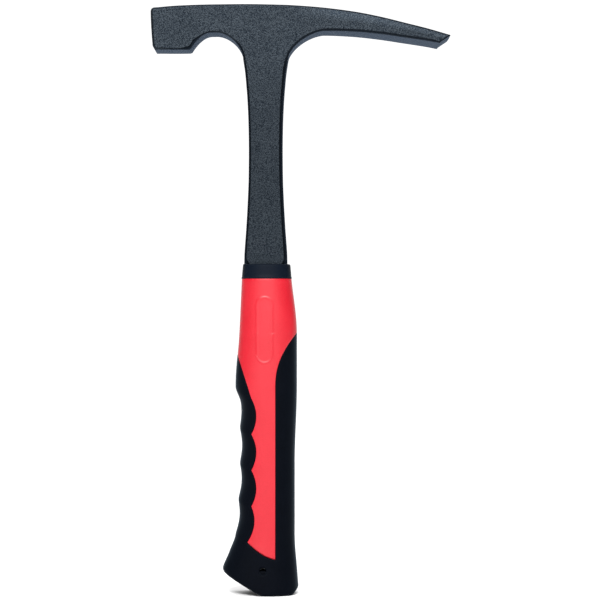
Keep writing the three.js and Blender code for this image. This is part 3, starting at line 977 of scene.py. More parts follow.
    def build(self) -> bpy.types.Object:
        """Carries the profile round the outline and dresses it in steel.

        On a cheek, a point's share of the way along its rib grows in steps up to where the edge begins. On
        the edge, with an angle from 0 to a quarter turn, the inset from the outline is the width times the
        angle's cosine to the power 2 over the roundness, and the depth is the edge's depth times 1 less the
        sine to the same power. The side wall bulges by the draft at its middle.

        Returns:
            The forging.
        """
        outline, bones, dressing = self.ribs()
        ahead, behind = np.roll(outline, -1, 0), np.roll(outline, 1, 0)
        tangent = ahead - behind
        normal = np.stack([tangent[:, 1], -tangent[:, 0]], -1)
        normal /= np.linalg.norm(normal, axis=1, keepdims=True)
        rib = outline - bones
        length = np.linalg.norm(rib, axis=1)
        lean = np.clip(np.abs((rib * normal).sum(1)) / length, self.least_lean, 1)
        width, depth, roundness, shade = dressing.T
        width = np.minimum(width, self.widest_edge * length * lean)
        depth = np.minimum(depth, 0.8 * width + 0.3)
        power = 2 / roundness
        support = np.minimum(width + self.support_gap, self.widest_support * length * lean)
        shares, drops, walls, edges = [], [], [], []
        for step in np.linspace(0, 1, self.cheek_steps + 1):
            shares.append(step * (1 - support / lean / length))
            drops.append(np.zeros_like(length))
            walls.append(0.0)
            edges.append(0.0)
        for turn in np.linspace(0, QUARTER, self.edge_steps + 1):
            shares.append(1 - (width * np.cos(turn) ** power + self.draft) / lean / length)
            drops.append(depth * (1 - (1 - np.sin(turn)) ** power) if turn < QUARTER else depth)
            walls.append(float(turn >= QUARTER))
            edges.append(float(0 < turn < QUARTER))
        share, drop = np.array(shares), np.array(drops)
        place = bones[None] + share[..., None] * rib[None]
        near = -(self.half_thickness(place[..., 0], place[..., 1]) - drop)
        cheek = np.stack([place[..., 0], near, place[..., 1]], -1)
        across = np.array(self.wall_places)[:, None]
        bulge = 1 - self.draft * across**2 / lean / length
        wall_place = bones[None] + bulge[..., None] * rib[None]
        wall = np.stack([wall_place[..., 0], across * -near[-1], wall_place[..., 1]], -1)
        far = cheek[::-1] * (1, -1, 1)
        points = np.concatenate([cheek, wall, far])
        # The side-wall mask sets the walls' smoother finish and their painted reflection.
        mask = np.concatenate([walls, np.ones(len(across)), walls[::-1]])
        quads = grid_quads(len(points), len(outline), wrap=True)
        # Painted shade on the edges: each edge point's share, scaled by its style's shade.
        edge = np.outer(np.concatenate([edges, np.zeros(len(across)), edges[::-1]]), shade)
        masks = {STEEL.wall_mask: np.repeat(mask, len(outline)), STEEL.edge_shade_mask: edge.ravel()}
        piece = make_piece("hammer_forging", points.reshape(-1, 3), quads, masks)
        piece.data.materials.append(STEEL.build())
        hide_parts("forged_hammer")
        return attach(piece, BODY)


# ---- Handle ----


@dataclass
class HandleForm:
    """The handle's outer form, which the core and the grip share.

    A section is a superoval round the middle of the handle: in the direction psi, which is 0 at the front
    and pi at the back, its radius is the sum of (cosine over the reach) and (sine over the half thickness),
    each to the power of the squareness, taken to the power of minus one over the squareness.
    """

    sizes: FrameSizes
    first_ridge_z: float = 33.4
    finger_count: int = 4
    finger_pitch: float = 20.0
    finger_depth: float = 1.15
    ridge_softness: float = 0.14
    top_ridge_rise: float = 2.8
    squareness: float = 2.5
    butt_front: float = 24.4
    butt_back: float = 18.6
    butt_half: float = 15.0
    toe_z: float = 12.6
    flat_front: float = -2.4
    flat_back: float = 14.8
    heel_rise: float = 4.0
    window_cusp: float = -8.3
    window_toe: float = -10.6
    window_back: float = 5.7
    window_lobe: float = 5.6
    ridge_drop: float = 3.8
    window_heel_z: float = 20.1
    front_tip_z: float = 133.4
    back_tip_z: float = 145.8
    back_bend_z: float = 116.3
    front_line: SmoothCurve = field(init=False)
    back_line: SmoothCurve = field(init=False)
    side_line: SmoothCurve = field(init=False)

    def __post_init__(self) -> None:
        """Works out the front, back and side lines."""
        first, pitch, top = self.first_ridge_z, self.finger_pitch, self.sizes.handle_top_z
        self.front_line = SmoothCurve(
            (
                (0.0, self.butt_front),
                (self.toe_z, self.butt_front),
                ((self.toe_z + first) / 2, (self.butt_front + 17.0) / 2),
                (first, 17.0),
                (first + pitch, 15.3),
                (first + 2 * pitch, 14.5),
                (first + 3 * pitch, 14.5),
                (first + (self.finger_count - 1 / 3) * pitch, 15.1),
                (self.palm_z, 17.0),
                (self.back_tip_z, 14.9),
                (top, 13.5),
            )
        )
        self.back_line = SmoothCurve(
            (
                (0.0, self.butt_back),
                (self.toe_z, self.butt_back - 1),
                (first, 16.2),
                (first + 2 * pitch, 16.2),
                (self.palm_z, 17.4),
                (self.back_tip_z, 17.4),
                (top, 14.4),
            )
        )
        waist = ((first, 12.0), (first + 2 * pitch, 12.0), (self.palm_z, 13.0), (top, 12.0))
        self.side_line = SmoothCurve(((0.0, self.butt_half), *waist))

    @property
    def palm_z(self) -> float:
        """Height of the top ridge at the front of the handle."""
        return self.first_ridge_z + self.finger_count * self.finger_pitch + self.top_ridge_rise

    def radii(self, z: Array, depth: Array | float) -> tuple[Array, Array, Array]:
        """The section's middle, reach and half thickness at a height, drawn in by a depth."""
        front, back = self.front_line(z), self.back_line(z)
        return (back - front) / 2, (back + front) / 2 - depth, self.side_line(z) - depth

    def place(self, psi: Array, z: Array, depth: Array | float = 0.0) -> Array:
        """Points (x, y, z) of the form, in the directions psi at the heights z, drawn in by a depth.

        Args:
            psi: Directions.
            z: Heights.
            depth: How far in each point moves.

        Returns:
            Points (x, y, z).
        """
        middle, reach, half = self.radii(z, depth)
        radius = superoval(psi, reach, half, self.squareness)
        return np.stack(np.broadcast_arrays(middle - radius * np.cos(psi), -radius * np.sin(psi), z), -1)

    def direction(self, x: Array, z: Array) -> Array:
        """The direction psi of the near-side point at the side-view place x, at a height.

        Args:
            x: Places along X.
            z: Heights.

        Returns:
            Directions.
        """
        middle, reach, half = self.radii(z, 0.0)
        across = np.clip((x - middle) / reach, -1, 1)
        out = half * (1 - np.abs(across) ** self.squareness) ** (1 / self.squareness)
        return np.arctan2(out, -across * reach)

    def speed(self, psi: Array, z: Array) -> Array:
        """Millimetres along the section for each radian of psi."""
        tiny = 1e-3
        return np.linalg.norm(self.place(psi + tiny, z) - self.place(psi - tiny, z), axis=-1) / (2 * tiny)

    def scallop(self, level: Array) -> Array:
        """Depth of the finger hollows at a level: rounded hollows between narrow ridges.

        Args:
            level: Levels of the front line.

        Returns:
            Depths.
        """
        lobe = self.lobe(level)[1]
        soft = self.ridge_softness
        wave = (np.sqrt(np.sin(np.pi * lobe) ** 2 + soft**2) - soft) / (math.sqrt(1 + soft**2) - soft)
        inside = (level > self.first_ridge_z) & (level < self.palm_z)
        return self.finger_depth * np.where(inside, wave, 0.0)

    def lobe(self, level: Array) -> tuple[Array, Array]:
        """Which finger hollow a level is in, and how far up that hollow it is, from 0 to 1.

        Args:
            level: Levels of the front line.

        Returns:
            The hollows' numbers, and shares of their heights.
        """
        last = self.first_ridge_z + (self.finger_count - 1) * self.finger_pitch
        number = np.clip((level - self.first_ridge_z) // self.finger_pitch, 0, self.finger_count - 1)
        start = self.first_ridge_z + number * self.finger_pitch
        height = np.where(number == self.finger_count - 1, self.palm_z - last, self.finger_pitch)
        return number, np.clip((level - start) / height, 0, 1)

    def front_edge(self, level: Array) -> tuple[Array, Array]:
        """The window's front edge (x, z) for a level of the front line.

        Along the fingers each hollow gives a parabola between two cusps, which lie lower than the ridges at
        the front. Above the top cusp the edge is a straight line to the front line at the strip's tip.

        Args:
            level: Levels of the front line.

        Returns:
            Places x and z along the edge.
        """
        number, up = self.lobe(level)
        start_x = np.where(number == 0, self.window_toe, self.window_cusp)
        first = self.first_ridge_z - self.ridge_drop
        x = mix(start_x, self.window_cusp, up) + 2 * self.window_lobe * up * (1 - up)
        z = first + (number + up) * self.finger_pitch
        rise = np.clip((level - self.palm_z) / (self.front_tip_z - self.palm_z), 0, 1)
        top_z = first + self.finger_count * self.finger_pitch
        above = level > self.palm_z
        tip_x = -float(self.front_line(self.front_tip_z))
        x = np.where(above, mix(self.window_cusp, tip_x, rise), x)
        return x, np.where(above, np.maximum(mix(top_z, self.front_tip_z, rise), level * (rise >= 1)), z)

    def back_edge(self, level: Array) -> tuple[Array, Array]:
        """The window's back edge (x, z) for a level: upright, then a cubic out to the tip.

        Args:
            level: Levels of the front line.

        Returns:
            Places x and z along the edge.
        """
        t = np.linspace(0, 1, 200)
        knots_x = (self.window_back, self.window_back, 11.4, 17.4)
        knots_z = (self.back_bend_z, self.back_bend_z + 13, self.back_tip_z - 8, self.back_tip_z)
        weights = np.stack([(1 - t) ** 3, 3 * t * (1 - t) ** 2, 3 * t * t * (1 - t), t**3])
        x = np.interp(level, np.array(knots_z) @ weights, np.array(knots_x) @ weights)
        first, pitch = self.first_ridge_z, self.finger_pitch
        fingers = ((first + pitch, 46.0), (first + 2 * pitch, 69.0), (first + 3 * pitch, 91.0))
        above = ((self.palm_z, self.back_bend_z), (self.back_tip_z, self.back_tip_z), (200.0, 200.0))
        return x, SmoothCurve(((first, self.window_heel_z), *fingers, *above))(level)

    def sole_arc(self, x: Array) -> Array:
        """Height of the window's lower edge at x: a quadratic curve from the toe down to the heel.

        Args:
            x: Places along X.

        Returns:
            Heights.
        """
        t = np.linspace(0, 1, 100)
        weights = np.stack([(1 - t) ** 2, 2 * t * (1 - t), t * t])
        knots_x = np.array((self.window_toe, -1.4, self.window_back))
        heel = self.window_heel_z
        knots_z = np.array((self.first_ridge_z - self.ridge_drop, heel + 0.7, heel))
        return np.interp(x, knots_x @ weights, knots_z @ weights)

    def sole(self, x: Array) -> Array:
        """Height of the butt's underside at x: sloping sole, flat and heel, with rounded corners.

        Args:
            x: Places along X.

        Returns:
            Heights.
        """
        slope = -(x - self.flat_front) * self.toe_z / (self.butt_front + self.flat_front)
        heel = (x - self.flat_back) * self.heel_rise / (self.butt_back - self.flat_back)
        return soft_max(soft_max(slope, np.zeros_like(x), 2.0), heel, 1.2)


class Part(Enum):
    """The two mouldings that are made on the handle's grid."""

    CORE = "core"
    GRIP = "grip"


@dataclass(frozen=True)
class Column:
    """A column of the handle's grid on its near side.

    The station runs from 0 at the front, over 1 and 2 at the window's front and back edges, to 3 at the
    back. The shift moves it along the surface, towards the back where positive.
    """

    station: float
    shift: float = 0.0
    deep: bool = False


@dataclass
class HandleMoulding:
    """One moulding of the handle, as a grid whose lines follow the window's edges.

    The rows start at a pole under the butt, run out over its underside, round its rim, up its wall to the
    window's lower edge and on up the handle. Each row starts at a level of the front line and falls to the
    cusps of the window's front edge. The columns run round the handle, with the far side a mirror image of
    the near side.
    """

    form: HandleForm
    part: Part
    wall: float = 2.6
    butt_wall: float = 5.0
    clearance: float = 0.3
    edge_round: float = 0.55
    seam: float = 0.14
    core_recess: float = 0.22
    flush_recess: float = 0.03
    flush_from: float = 118.0
    flush_fade: float = 30.0
    bow_fade: float = 24.0
    even_from: float = 92.0
    even_fade: float = 30.0
    core_round: float = 0.25
    hole_x: float = -1.5
    hole_z: float = 13.8
    hole_radius: float = 2.05
    hole_lip: float = 0.4
    sleeve: float = 1.2
    block: int = 5
    rim_steps: int = 7
    rim_round: float = 1.3
    rim_toe: float = 0.9
    rim_heel: float = 0.1
    sole_rounds: int = 40
    badge_x: float = -0.6
    badge_half_width: float = 4.2
    badge_low_z: float = 129.3
    badge_high_z: float = 165.7
    badge_relief: float = 0.32
    badge_ridge: float = 0.42
    fine: float = 0.42

    def columns(self) -> list[Column]:
        """The near side's columns from the front to the back, close together beside the window's edges.

        Returns:
            The columns.
        """
        turn = np.linspace(0, QUARTER, 6)
        if self.part is Part.GRIP:
            rounds = self.edge_round * (1 - np.cos(turn))
            front = [Column(c) for c in np.linspace(0, 0.93, 15)]
            front += [Column(1.0, -shift) for shift in rounds[::-1]]
            window = [Column(1.0 + c) for c in np.linspace(0, 1, 26)[1:-1]]
            back = [Column(2.0, shift) for shift in rounds]
            return front + window + back + [Column(2.0 + c) for c in np.linspace(0.07, 1, 14)]
        rounds = self.seam + self.core_round * (1 - np.cos(turn[::2]))
        front = [Column(c, deep=True) for c in np.linspace(0, 1, 7)] + [Column(1.0, self.seam, True)]
        front += [Column(1.0, shift) for shift in rounds]
        window = [Column(1.0 + c) for c in np.linspace(0, 1, 64)[2:-2]]
        back = [Column(2.0, -shift) for shift in rounds[::-1]] + [Column(2.0, -self.seam, True)]
        return front + window + back + [Column(c, deep=True) for c in np.linspace(2, 3, 7)]

    def levels(self) -> Array:
        """Levels of the rows above the window's lower edge, closer at the ridges and the strips' tips.

        Returns:
            The levels.
        """
        form = self.form
        share = (1 - np.cos(np.linspace(0, np.pi, 17))) / 2
        ridges = form.first_ridge_z + form.finger_pitch * np.arange(form.finger_count)
        tops = np.append(ridges[1:], form.palm_z)
        fingers = [mix(low, high, share[:-1]) for low, high in zip(ridges, tops)]
        rise = 1 - (1 - np.linspace(0, 1, 15)) ** 2
        strip = mix(form.palm_z, form.front_tip_z, rise)
        tip = mix(form.front_tip_z, form.back_tip_z, rise)
        if self.part is Part.GRIP:
            return np.concatenate([*fingers, strip, tip[1:]])
        start = self.badge_low_z - 2
        strip = np.concatenate([strip[strip < start], spread(start, form.front_tip_z, self.fine)])
        tip = spread(form.front_tip_z, form.back_tip_z - 0.3, self.fine)
        upper = spread(form.back_tip_z + 0.02, self.badge_high_z + 2, self.fine)
        top = spread(self.badge_high_z + 2, form.sizes.handle_top_z - 0.2, 1.2)
        return np.concatenate([*fingers, strip, tip[1:], upper, top[1:]])

    def window_rows(self, level: Array, columns: list[Column]) -> tuple[Array, Array, Array]:
        """Directions and heights of the near side's points above the window's lower edge.

        Between the window's edges the columns are even in side view along the fingers, and even in
        direction above. A row's height falls in a line from the front to the window's front edge, and
        across the window it follows the straight line between the edges, plus the lower edge's bow, which
        fades over the first rows.

        Args:
            level: Levels of the rows.
            columns: The columns.

        Returns:
            Directions psi, heights z, and how far each point lies beyond the window's edge on the rubber,
            one row for each level.
        """
        form = self.form
        station = np.array([c.station for c in columns])[None, :]
        shift = np.array([c.shift for c in columns])[None, :]
        level = level[:, None]
        front_x, front_z = form.front_edge(level)
        back_x, back_z = form.back_edge(level)
        within = np.clip(station - 1, 0, 1)
        bow_x = mix(form.window_toe, form.window_back, within)
        bow = form.sole_arc(bow_x) - mix(form.first_ridge_z - form.ridge_drop, form.window_heel_z, within)
        bow = bow * (1 - ease((level - form.first_ridge_z) / self.bow_fade))
        before = mix(level, front_z, np.clip(station, 0, 1))
        z = np.where(station < 1, before, mix(front_z, back_z, within) + bow)
        psi_front = np.where(level < form.front_tip_z, form.direction(front_x, front_z), 0.0)
        psi_back = np.where(level < form.back_tip_z, form.direction(back_x, back_z), np.pi)
        in_view = form.direction(mix(front_x, back_x, within), z)
        even = mix(psi_front, psi_back, within)
        inside = mix(in_view, even, ease((level - self.even_from) / self.even_fade))
        front = psi_front * np.clip(station, 0, 1)
        back = mix(psi_back, np.pi, np.clip(station - 2, 0, 1))
        psi = np.where(station < 1, front, np.where(station > 2, back, inside))
        psi = np.where(station == 1, psi_front, np.where(station == 2, psi_back, psi))
        step = shift / form.speed(np.clip(psi, 0.15, np.pi - 0.15), z)
        room = np.where(station < MIDDLE, psi_front, np.pi - psi_back) * np.abs(shift) / self.edge_round
        held = np.sign(step) * np.minimum(np.abs(step), 0.8 * room)
        step = np.where(shift * (station - MIDDLE) > 0, held, step)
        psi = psi + step
        beyond = np.where(station < MIDDLE, psi_front - psi, psi - psi_back)
        return psi, z, beyond * form.speed(np.clip(psi, 0.15, np.pi - 0.15), z)

    def butt_rows(self, psi: Array, top_z: Array, depth: float, lift: float, rows: Array) -> Array:
        """Points of the butt from the pole under it to just below the window's lower edge.

        A point of the wall has its column's direction. The corner is where the wall meets the underside.
        The rim between a wall point above the corner and an underside point inside it is a quarter oval:
        the corner, plus the way to the wall point times 1 less the sine, plus the way to the underside
        point times 1 less the cosine.

        Args:
            psi: Direction of each near-side column.
            top_z: Height of each column's window row.
            depth: How far the form is drawn in.
            lift: How far the underside is raised.
            rows: Shares of the wall's height, from 0 at the rim to less than 1.

        Returns:
            Points, rows by columns by 3.
        """
        form = self.form
        corner_z = np.full_like(psi, 6.0)
        for _ in range(self.sole_rounds):
            corner_z = mix(corner_z, form.sole(form.place(psi, corner_z, depth)[..., 0]) + lift, 0.6)
        corner = form.place(psi, corner_z, depth)
        toe, heel = np.maximum(np.cos(psi), 0) ** 2, np.maximum(-np.cos(psi), 0) ** 2
        rim = self.rim_round + self.rim_toe * toe - self.rim_heel * heel
        start_z = corner_z + rim
        start = form.place(psi, start_z, depth)
        centre = np.array([-1.0, 0.0])
        inward = centre - corner[..., :2]
        inward /= np.linalg.norm(inward, axis=-1, keepdims=True)
        inner = corner[..., :2] + inward * rim[..., None]
        inner = np.concatenate([inner, (form.sole(inner[..., 0]) + lift)[..., None]], -1)
        shares = np.linspace(0, 1, 12)[:-1, None, None] ** 0.8
        flat = centre + shares * (inner[None, :, :2] - centre)
        cap = np.concatenate([flat, (form.sole(flat[..., 0]) + lift)[..., None]], -1)
        turn = np.linspace(QUARTER, 0, self.rim_steps + 1)[:, None, None]
        bend = corner + (start - corner) * (1 - np.sin(turn)) + (inner - corner) * (1 - np.cos(turn))
        wall_z = mix(start_z[None], top_z[None], rows[1:, None])
        return np.concatenate([cap, bend, form.place(np.broadcast_to(psi, wall_z.shape), wall_z, depth)])

    def punched(self, points: Array, radius: float, lip: float, depth: float) -> tuple[Array, Array]:
        """Warps the near side's grid round the hanging hole, so that a square of its cells becomes the
        hole.

        Squares of cells round the hole's middle become circles. The outermost circles fade into the plain
        grid.

        Args:
            points: Near-side points.
            radius: The hole's radius.
            lip: Radius of the rounded lip, or 0.
            depth: How far the form is drawn in.

        Returns:
            The warped points, and which cells are in the hole.
        """
        off = np.hypot(points[..., 0] - self.hole_x, points[..., 2] - self.hole_z)
        off = off + FAR_MM * (points[..., 1] > -6)
        row, column = np.unravel_index(np.argmin(off), off.shape)
        up, along = np.meshgrid(*(np.arange(n) for n in off.shape), indexing="ij")
        up, along = up - row, along - column
        ring = np.maximum(np.abs(up), np.abs(along)).astype(float)
        angle = np.arctan2(up, along)
        square = np.array([self.block - 2, self.block - 1, self.block])
        sizes = [0, radius, radius + 0.3 * lip, radius + lip, 4.5 * radius]
        size = np.interp(ring, [0, *square, 3 * self.block], sizes)
        round_x = self.hole_x + size * np.cos(angle)
        round_z = self.hole_z + size * np.sin(angle)
        share = 1 - ease((ring - self.block) / (1.4 * self.block))
        x, z = mix(points[..., 0], round_x, share), mix(points[..., 2], round_z, share)
        sunk = np.interp(ring, square, [lip, 0.3 * lip, 0.0]) * (ring >= square[0])
        moved = self.form.place(self.form.direction(x, z), z, depth + sunk)
        warped = np.where((share > 0)[..., None], moved, points)
        cells = (up[:-1, :-1] >= -square[0]) & (up[:-1, :-1] < square[0])
        cells &= (along[:-1, :-1] >= -square[0]) & (along[:-1, :-1] < square[0])
        return warped, cells

    def badge(self, x: Array, z: Array) -> Array:
        """Share of the raised oblong's relief: a low plateau, highest along its rim, 0 outside.

        Args:
            x: Places along X.
            z: Heights.

        Returns:
            Shares from 0 to 1.
        """
        radius = self.badge_half_width
        nearest = np.clip(z, self.badge_low_z + radius, self.badge_high_z - radius)
        distance = np.hypot(x - self.badge_x, z - nearest) - radius
        rim = np.exp(-((distance / self.badge_ridge) ** 2))
        return 0.1 * ease(0.5 - distance / 0.9) + 0.9 * rim

    def surface(self, depth: float, lift: float, hole: float, lip: float) -> tuple[Array, Array, Array]:
        """The near side's points, cells and hole cells for this moulding.

        Args:
            depth: How far the surface is drawn in from the handle's form.
            lift: How far its underside is raised.
            hole: Radius of the hanging hole.
            lip: Radius of the hole's lip.

        Returns:
            Points, a mask of the cells that the grip covers, and a mask of the cells in the hole.
        """
        form = self.form
        columns = self.columns()
        station = np.array([c.station for c in columns])
        shift = np.array([c.shift for c in columns])
        level = self.levels()
        psi, z, beyond = self.window_rows(level, columns)
        grip = self.part is Part.GRIP
        radius = self.edge_round if grip else self.core_round
        rounds = radius * (1 - np.cos(np.linspace(0, QUARTER, 6)))
        rows = np.linspace(0, 0.94, 26)
        if grip:
            rows = np.append(rows, 1 - rounds[:0:-1] / 14)
        butt = self.butt_rows(psi[0], z[0], depth, lift, rows)
        strip = np.clip(np.where(station < MIDDLE, station, 3 - station), 0, 1)
        groove = form.scallop(level)[:, None] * (1 - strip**2) ** 1.5 * (station < MIDDLE)
        if grip:
            beyond = np.maximum(beyond, 0)
            upper = form.place(psi, z, depth + groove + round_depth(beyond, radius) * (depth == 0))
            if depth == 0:
                under = np.full(len(butt), FAR_MM)
                under[-len(rounds) + 1 :] = rounds[:0:-1]
                butt = self.sunk(butt, round_depth(np.hypot(beyond[:1], under[:, None]), radius))
            cells = self.covered(station, shift, level, len(butt))
        else:
            upper = self.core_rows(psi, z, level, columns, groove, self.seam + rounds)
            cells = np.ones((len(butt) + len(upper) - 1, len(columns) - 1), bool)
        points = np.concatenate([butt, upper])
        warped, hole_cells = self.punched(points, hole, lip, depth)
        return warped, cells & ~hole_cells, hole_cells

    def covered(self, station: Array, shift: Array, level: Array, butt_rows: int) -> Array:
        """Which cells the grip covers: all of the butt, and the two strips as far up as their tips.

        Args:
            station: Each column's station.
            shift: Each column's shift.
            level: Levels of the rows above the butt.
            butt_rows: Rows of points in the butt.

        Returns:
            A mask of the cells, row by row.
        """
        first, last = station == 1, station == 2
        inside = (station >= 1) & (station <= 2) & ~(first & (shift < 0)) & ~(last & (shift > 0))
        front = (station[:-1] < 1) | (first[:-1] & first[1:] & (shift[:-1] < 0))
        back = (station[1:] > 2) | (last[:-1] & last[1:] & (shift[1:] > 0))
        low = level[:-1, None]
        cells = np.ones((butt_rows + len(level) - 1, len(station) - 1), bool)
        cells[butt_rows:] &= ~(inside[:-1] & inside[1:])[None]
        cells[butt_rows:] &= ~(front[None] & (low >= self.form.front_tip_z - TINY))
        cells[butt_rows:] &= ~(back[None] & (low >= self.form.back_tip_z - TINY))
        return cells

    def sunk(self, points: Array, depth: Array) -> Array:
        """Points of the form moved in by a depth, level by level.

        Args:
            points: The points.
            depth: How far in each point moves.

        Returns:
            The moved points.
        """
        psi = np.arctan2(-points[..., 1], self.form.radii(points[..., 2], 0.0)[0] - points[..., 0])
        moved = self.form.place(psi, points[..., 2], depth)
        return np.where((depth > 0)[..., None], moved, points)

    def core_rows(
        self,
        psi: Array,
        z: Array,
        level: Array,
        columns: list[Column],
        groove: Array,
        below: Array,
    ) -> Array:
        """The core's rows above the butt: seam and rounded edge at the window's lower edge, then the
        window.

        Args:
            psi: Directions of the points.
            z: Heights of the points.
            level: Levels of the rows.
            columns: The columns.
            groove: Depth of the finger hollows.
            below: Distances of the rounded edge's rows above the window's lower edge.

        Returns:
            The rows of points.
        """
        form = self.form
        station = np.array([c.station for c in columns])
        shift = np.array([c.shift for c in columns])
        deep = np.array([c.deep for c in columns])
        flush = ease((level - self.flush_from) / self.flush_fade)[:, None]
        plain = mix(self.core_recess, self.flush_recess, flush) + np.zeros((1, len(columns)))
        edge_distance = np.where((station == 1) | (station == 2), np.abs(shift) - self.seam, FAR_MM)
        recess = plain + round_depth(edge_distance, self.core_round)[None]
        front_open = (level[:, None] > form.front_tip_z + TINY) & (station[None] <= MIDDLE)
        back_open = (level[:, None] > form.back_tip_z + TINY) & (station[None] > MIDDLE)
        recess = np.where(front_open | back_open, plain, recess)
        hidden = deep[None] & ~(front_open | back_open)
        near = form.place(psi, z)
        relief = self.badge_relief * self.badge(near[..., 0], near[..., 2])
        depth = np.where(hidden, self.wall + groove, recess - relief * ~hidden)
        upper = form.place(psi, z, depth)
        deep_row = form.place(psi[:1], z[:1] + self.seam, self.wall)
        lower = [deep_row]
        for distance in below:
            row_depth = round_depth(np.array(distance - self.seam), self.core_round) + depth[:1]
            lower.append(form.place(psi[:1], z[:1] + distance, np.where(hidden[:1], self.wall, row_depth)))
        return np.concatenate([*lower, upper[1:]])

    def mirrored(self, near: Array) -> Array:
        """A whole ring of columns: the near side, then the far side as its mirror image."""
        return np.concatenate([near, near[:, -2:0:-1] * (1, -1, 1)], 1)

    def around(self, cells: Array) -> Array:
        """The near side's cells, then the far side's."""
        return np.concatenate([cells, cells[:, ::-1]], 1)


def woven_quads(cells: Array, holes: Array, closed_start: bool, shell: bool) -> Array:
    """Quads of a ring-shaped grid with missing cells, as a single skin or as a shell with two skins.

    The outer skin has vertices numbered row by row. A shell's inner skin has as many again. Edges beside a
    missing cell get a wall between the skins, and edges beside a hole on the near side get a tube to the
    far side.

    Args:
        cells: Cells that are there, all round the ring.
        holes: Cells in a hole that goes right through.
        closed_start: True if the first row is a pole.
        shell: True for a shell.

    Returns:
        Vertex numbers, four a quad.
    """
    rows, columns = cells.shape
    row, column = np.meshgrid(np.arange(rows), np.arange(columns), indexing="ij")
    after = (column + 1) % columns
    corner = cell_corners(row, column, after, columns)
    count = (rows + 1) * columns
    quads = [np.stack(corner, -1)[cells]]
    if shell:
        quads.append(np.stack(corner[::-1], -1)[cells] + count)

    def mirror(vertex: Array) -> Array:
        """The vertex on the other side of the handle."""
        return vertex // columns * columns + (-(vertex % columns)) % columns

    padded = np.pad(cells, ((1, 1), (0, 0)), constant_values=False)
    padded[0] |= closed_start
    padded_holes = np.pad(holes, ((1, 1), (0, 0)), constant_values=False)
    neighbours = (
        (padded[:-2], padded_holes[:-2]),
        (np.roll(cells, -1, 1), np.roll(holes, -1, 1)),
        (padded[2:], padded_holes[2:]),
        (np.roll(cells, 1, 1), np.roll(holes, 1, 1)),
    )
    near_side = column < columns // 2
    for side, (there, hole) in enumerate(neighbours):
        a, b = corner[side], corner[(side + 1) % 4]
        wall = cells & ~there & ~hole
        if shell:
            quads.append(np.stack([b, a, a + count, b + count], -1)[wall])
        tube = cells & hole & near_side
        quads.append(np.stack([b, a, mirror(a), mirror(b)], -1)[tube])
        if shell:
            quads.append(np.stack([a + count, b + count, mirror(b) + count, mirror(a) + count], -1)[tube])
    return np.concatenate(quads)


@dataclass
class RubberGrip(HandleMoulding):
    """The black rubber grip: a shell with a window on each side, two strips and a holed butt."""

    part: Part = Part.GRIP

    def build(self) -> bpy.types.Object:
        """Builds the outer and the inner skin on one grid and joins them.

        Returns:
            The grip.
        """
        outer, cells, hole = self.surface(0.0, 0.0, self.hole_radius, self.hole_lip)
        inner = self.surface(
            self.wall - self.clearance, self.butt_wall - self.clearance, self.hole_radius + self.sleeve, 0.0
        )[0]
        points = np.concatenate([self.mirrored(outer).reshape(-1, 3), self.mirrored(inner).reshape(-1, 3)])
        quads = woven_quads(self.around(cells), self.around(hole), closed_start=True, shell=True)
        used = np.unique(quads)
        number = np.zeros(len(points), int)
        number[used] = np.arange(len(used))
        piece = make_piece("rubber_grip", points[used], number[quads], {})
        piece.data.materials.append(GRIP_RUBBER.build())
        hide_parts("grip")
        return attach(piece, BODY)


@dataclass
class RedCore(HandleMoulding):
    """The red plastic core: flush in the windows, deep under the rubber, hollow round the tang."""

    part: Part = Part.CORE
    room_squareness: float = 7.0
    top_round: float = 0.2

    def build(self, forging: Forging) -> bpy.types.Object:
        """Builds the outside, the top face and the room for the tang on one grid.

        Args:
            forging: Gives the tang's sizes.

        Returns:
            The core.
        """
        hole = self.hole_radius + self.sleeve + self.clearance
        outer, _, hole_cells = self.surface(self.wall, self.butt_wall, hole, 0.0)
        inside = self.tang_room(outer[-1], forging)
        extra = np.zeros((len(inside), hole_cells.shape[1]), bool)
        near = np.concatenate([outer, inside])
        holes = self.around(np.concatenate([hole_cells, extra]))
        quads = woven_quads(~holes, holes, closed_start=True, shell=False)
        points = self.mirrored(near).reshape(-1, 3)
        piece = make_piece("handle_core_moulding", points, quads, {})
        piece.data.materials.append(RED_PLASTIC.build())
        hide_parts("handle_core")
        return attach(piece, BODY)

    def tang_room(self, last: Array, forging: Forging) -> Array:
        """Rows from the core's last outer row over its top face, down round the tang, to a pole under its
        tip.

        Args:
            last: Points of the last outer row.
            forging: Gives the tang's sizes.

        Returns:
            Near-side rows. Each ring of the room is a superoval so square that it is nearly a rectangle.
        """
        top, tip = self.form.sizes.handle_top_z, self.form.sizes.tang_tip_z - self.clearance
        psi = np.arctan2(-last[:, 1], -last[:, 0])
        rows = []
        for turn in np.linspace(0, QUARTER, 4)[1:]:
            shrink = 1 - self.top_round * (1 - math.cos(turn)) / 13
            height = np.full(len(last), top - self.top_round * (1 - math.sin(turn)))
            rows.append(np.stack([last[:, 0] * shrink, last[:, 1] * shrink, height], -1))

        def ring(z: float, share: float) -> Array:
            """A ring of the room at a height, shrunk to a share of its size.

            Args:
                z: Its height.
                share: Its size, as a share of the full ring.

            Returns:
                The ring's points.
            """
            half = float(forging.half_width(np.array(min(z, top - 0.01)))) + self.clearance
            deep = float(forging.bar_curve(z)) / 2 + self.clearance
            radius = superoval(psi, half, deep, self.room_squareness)
            x, y = -radius * share * np.cos(psi), -radius * share * np.sin(psi)
            return np.stack([x, y, np.full(len(psi), z)], -1)

        rows.append(mix(rows[-1], ring(top, 1.0), 0.5))
        rows += [ring(z, 1.0) for z in np.linspace(top, tip, 8)]
        rows += [ring(tip, share) for share in (0.6, 0.25, 0.0)]
        return np.stack(rows)


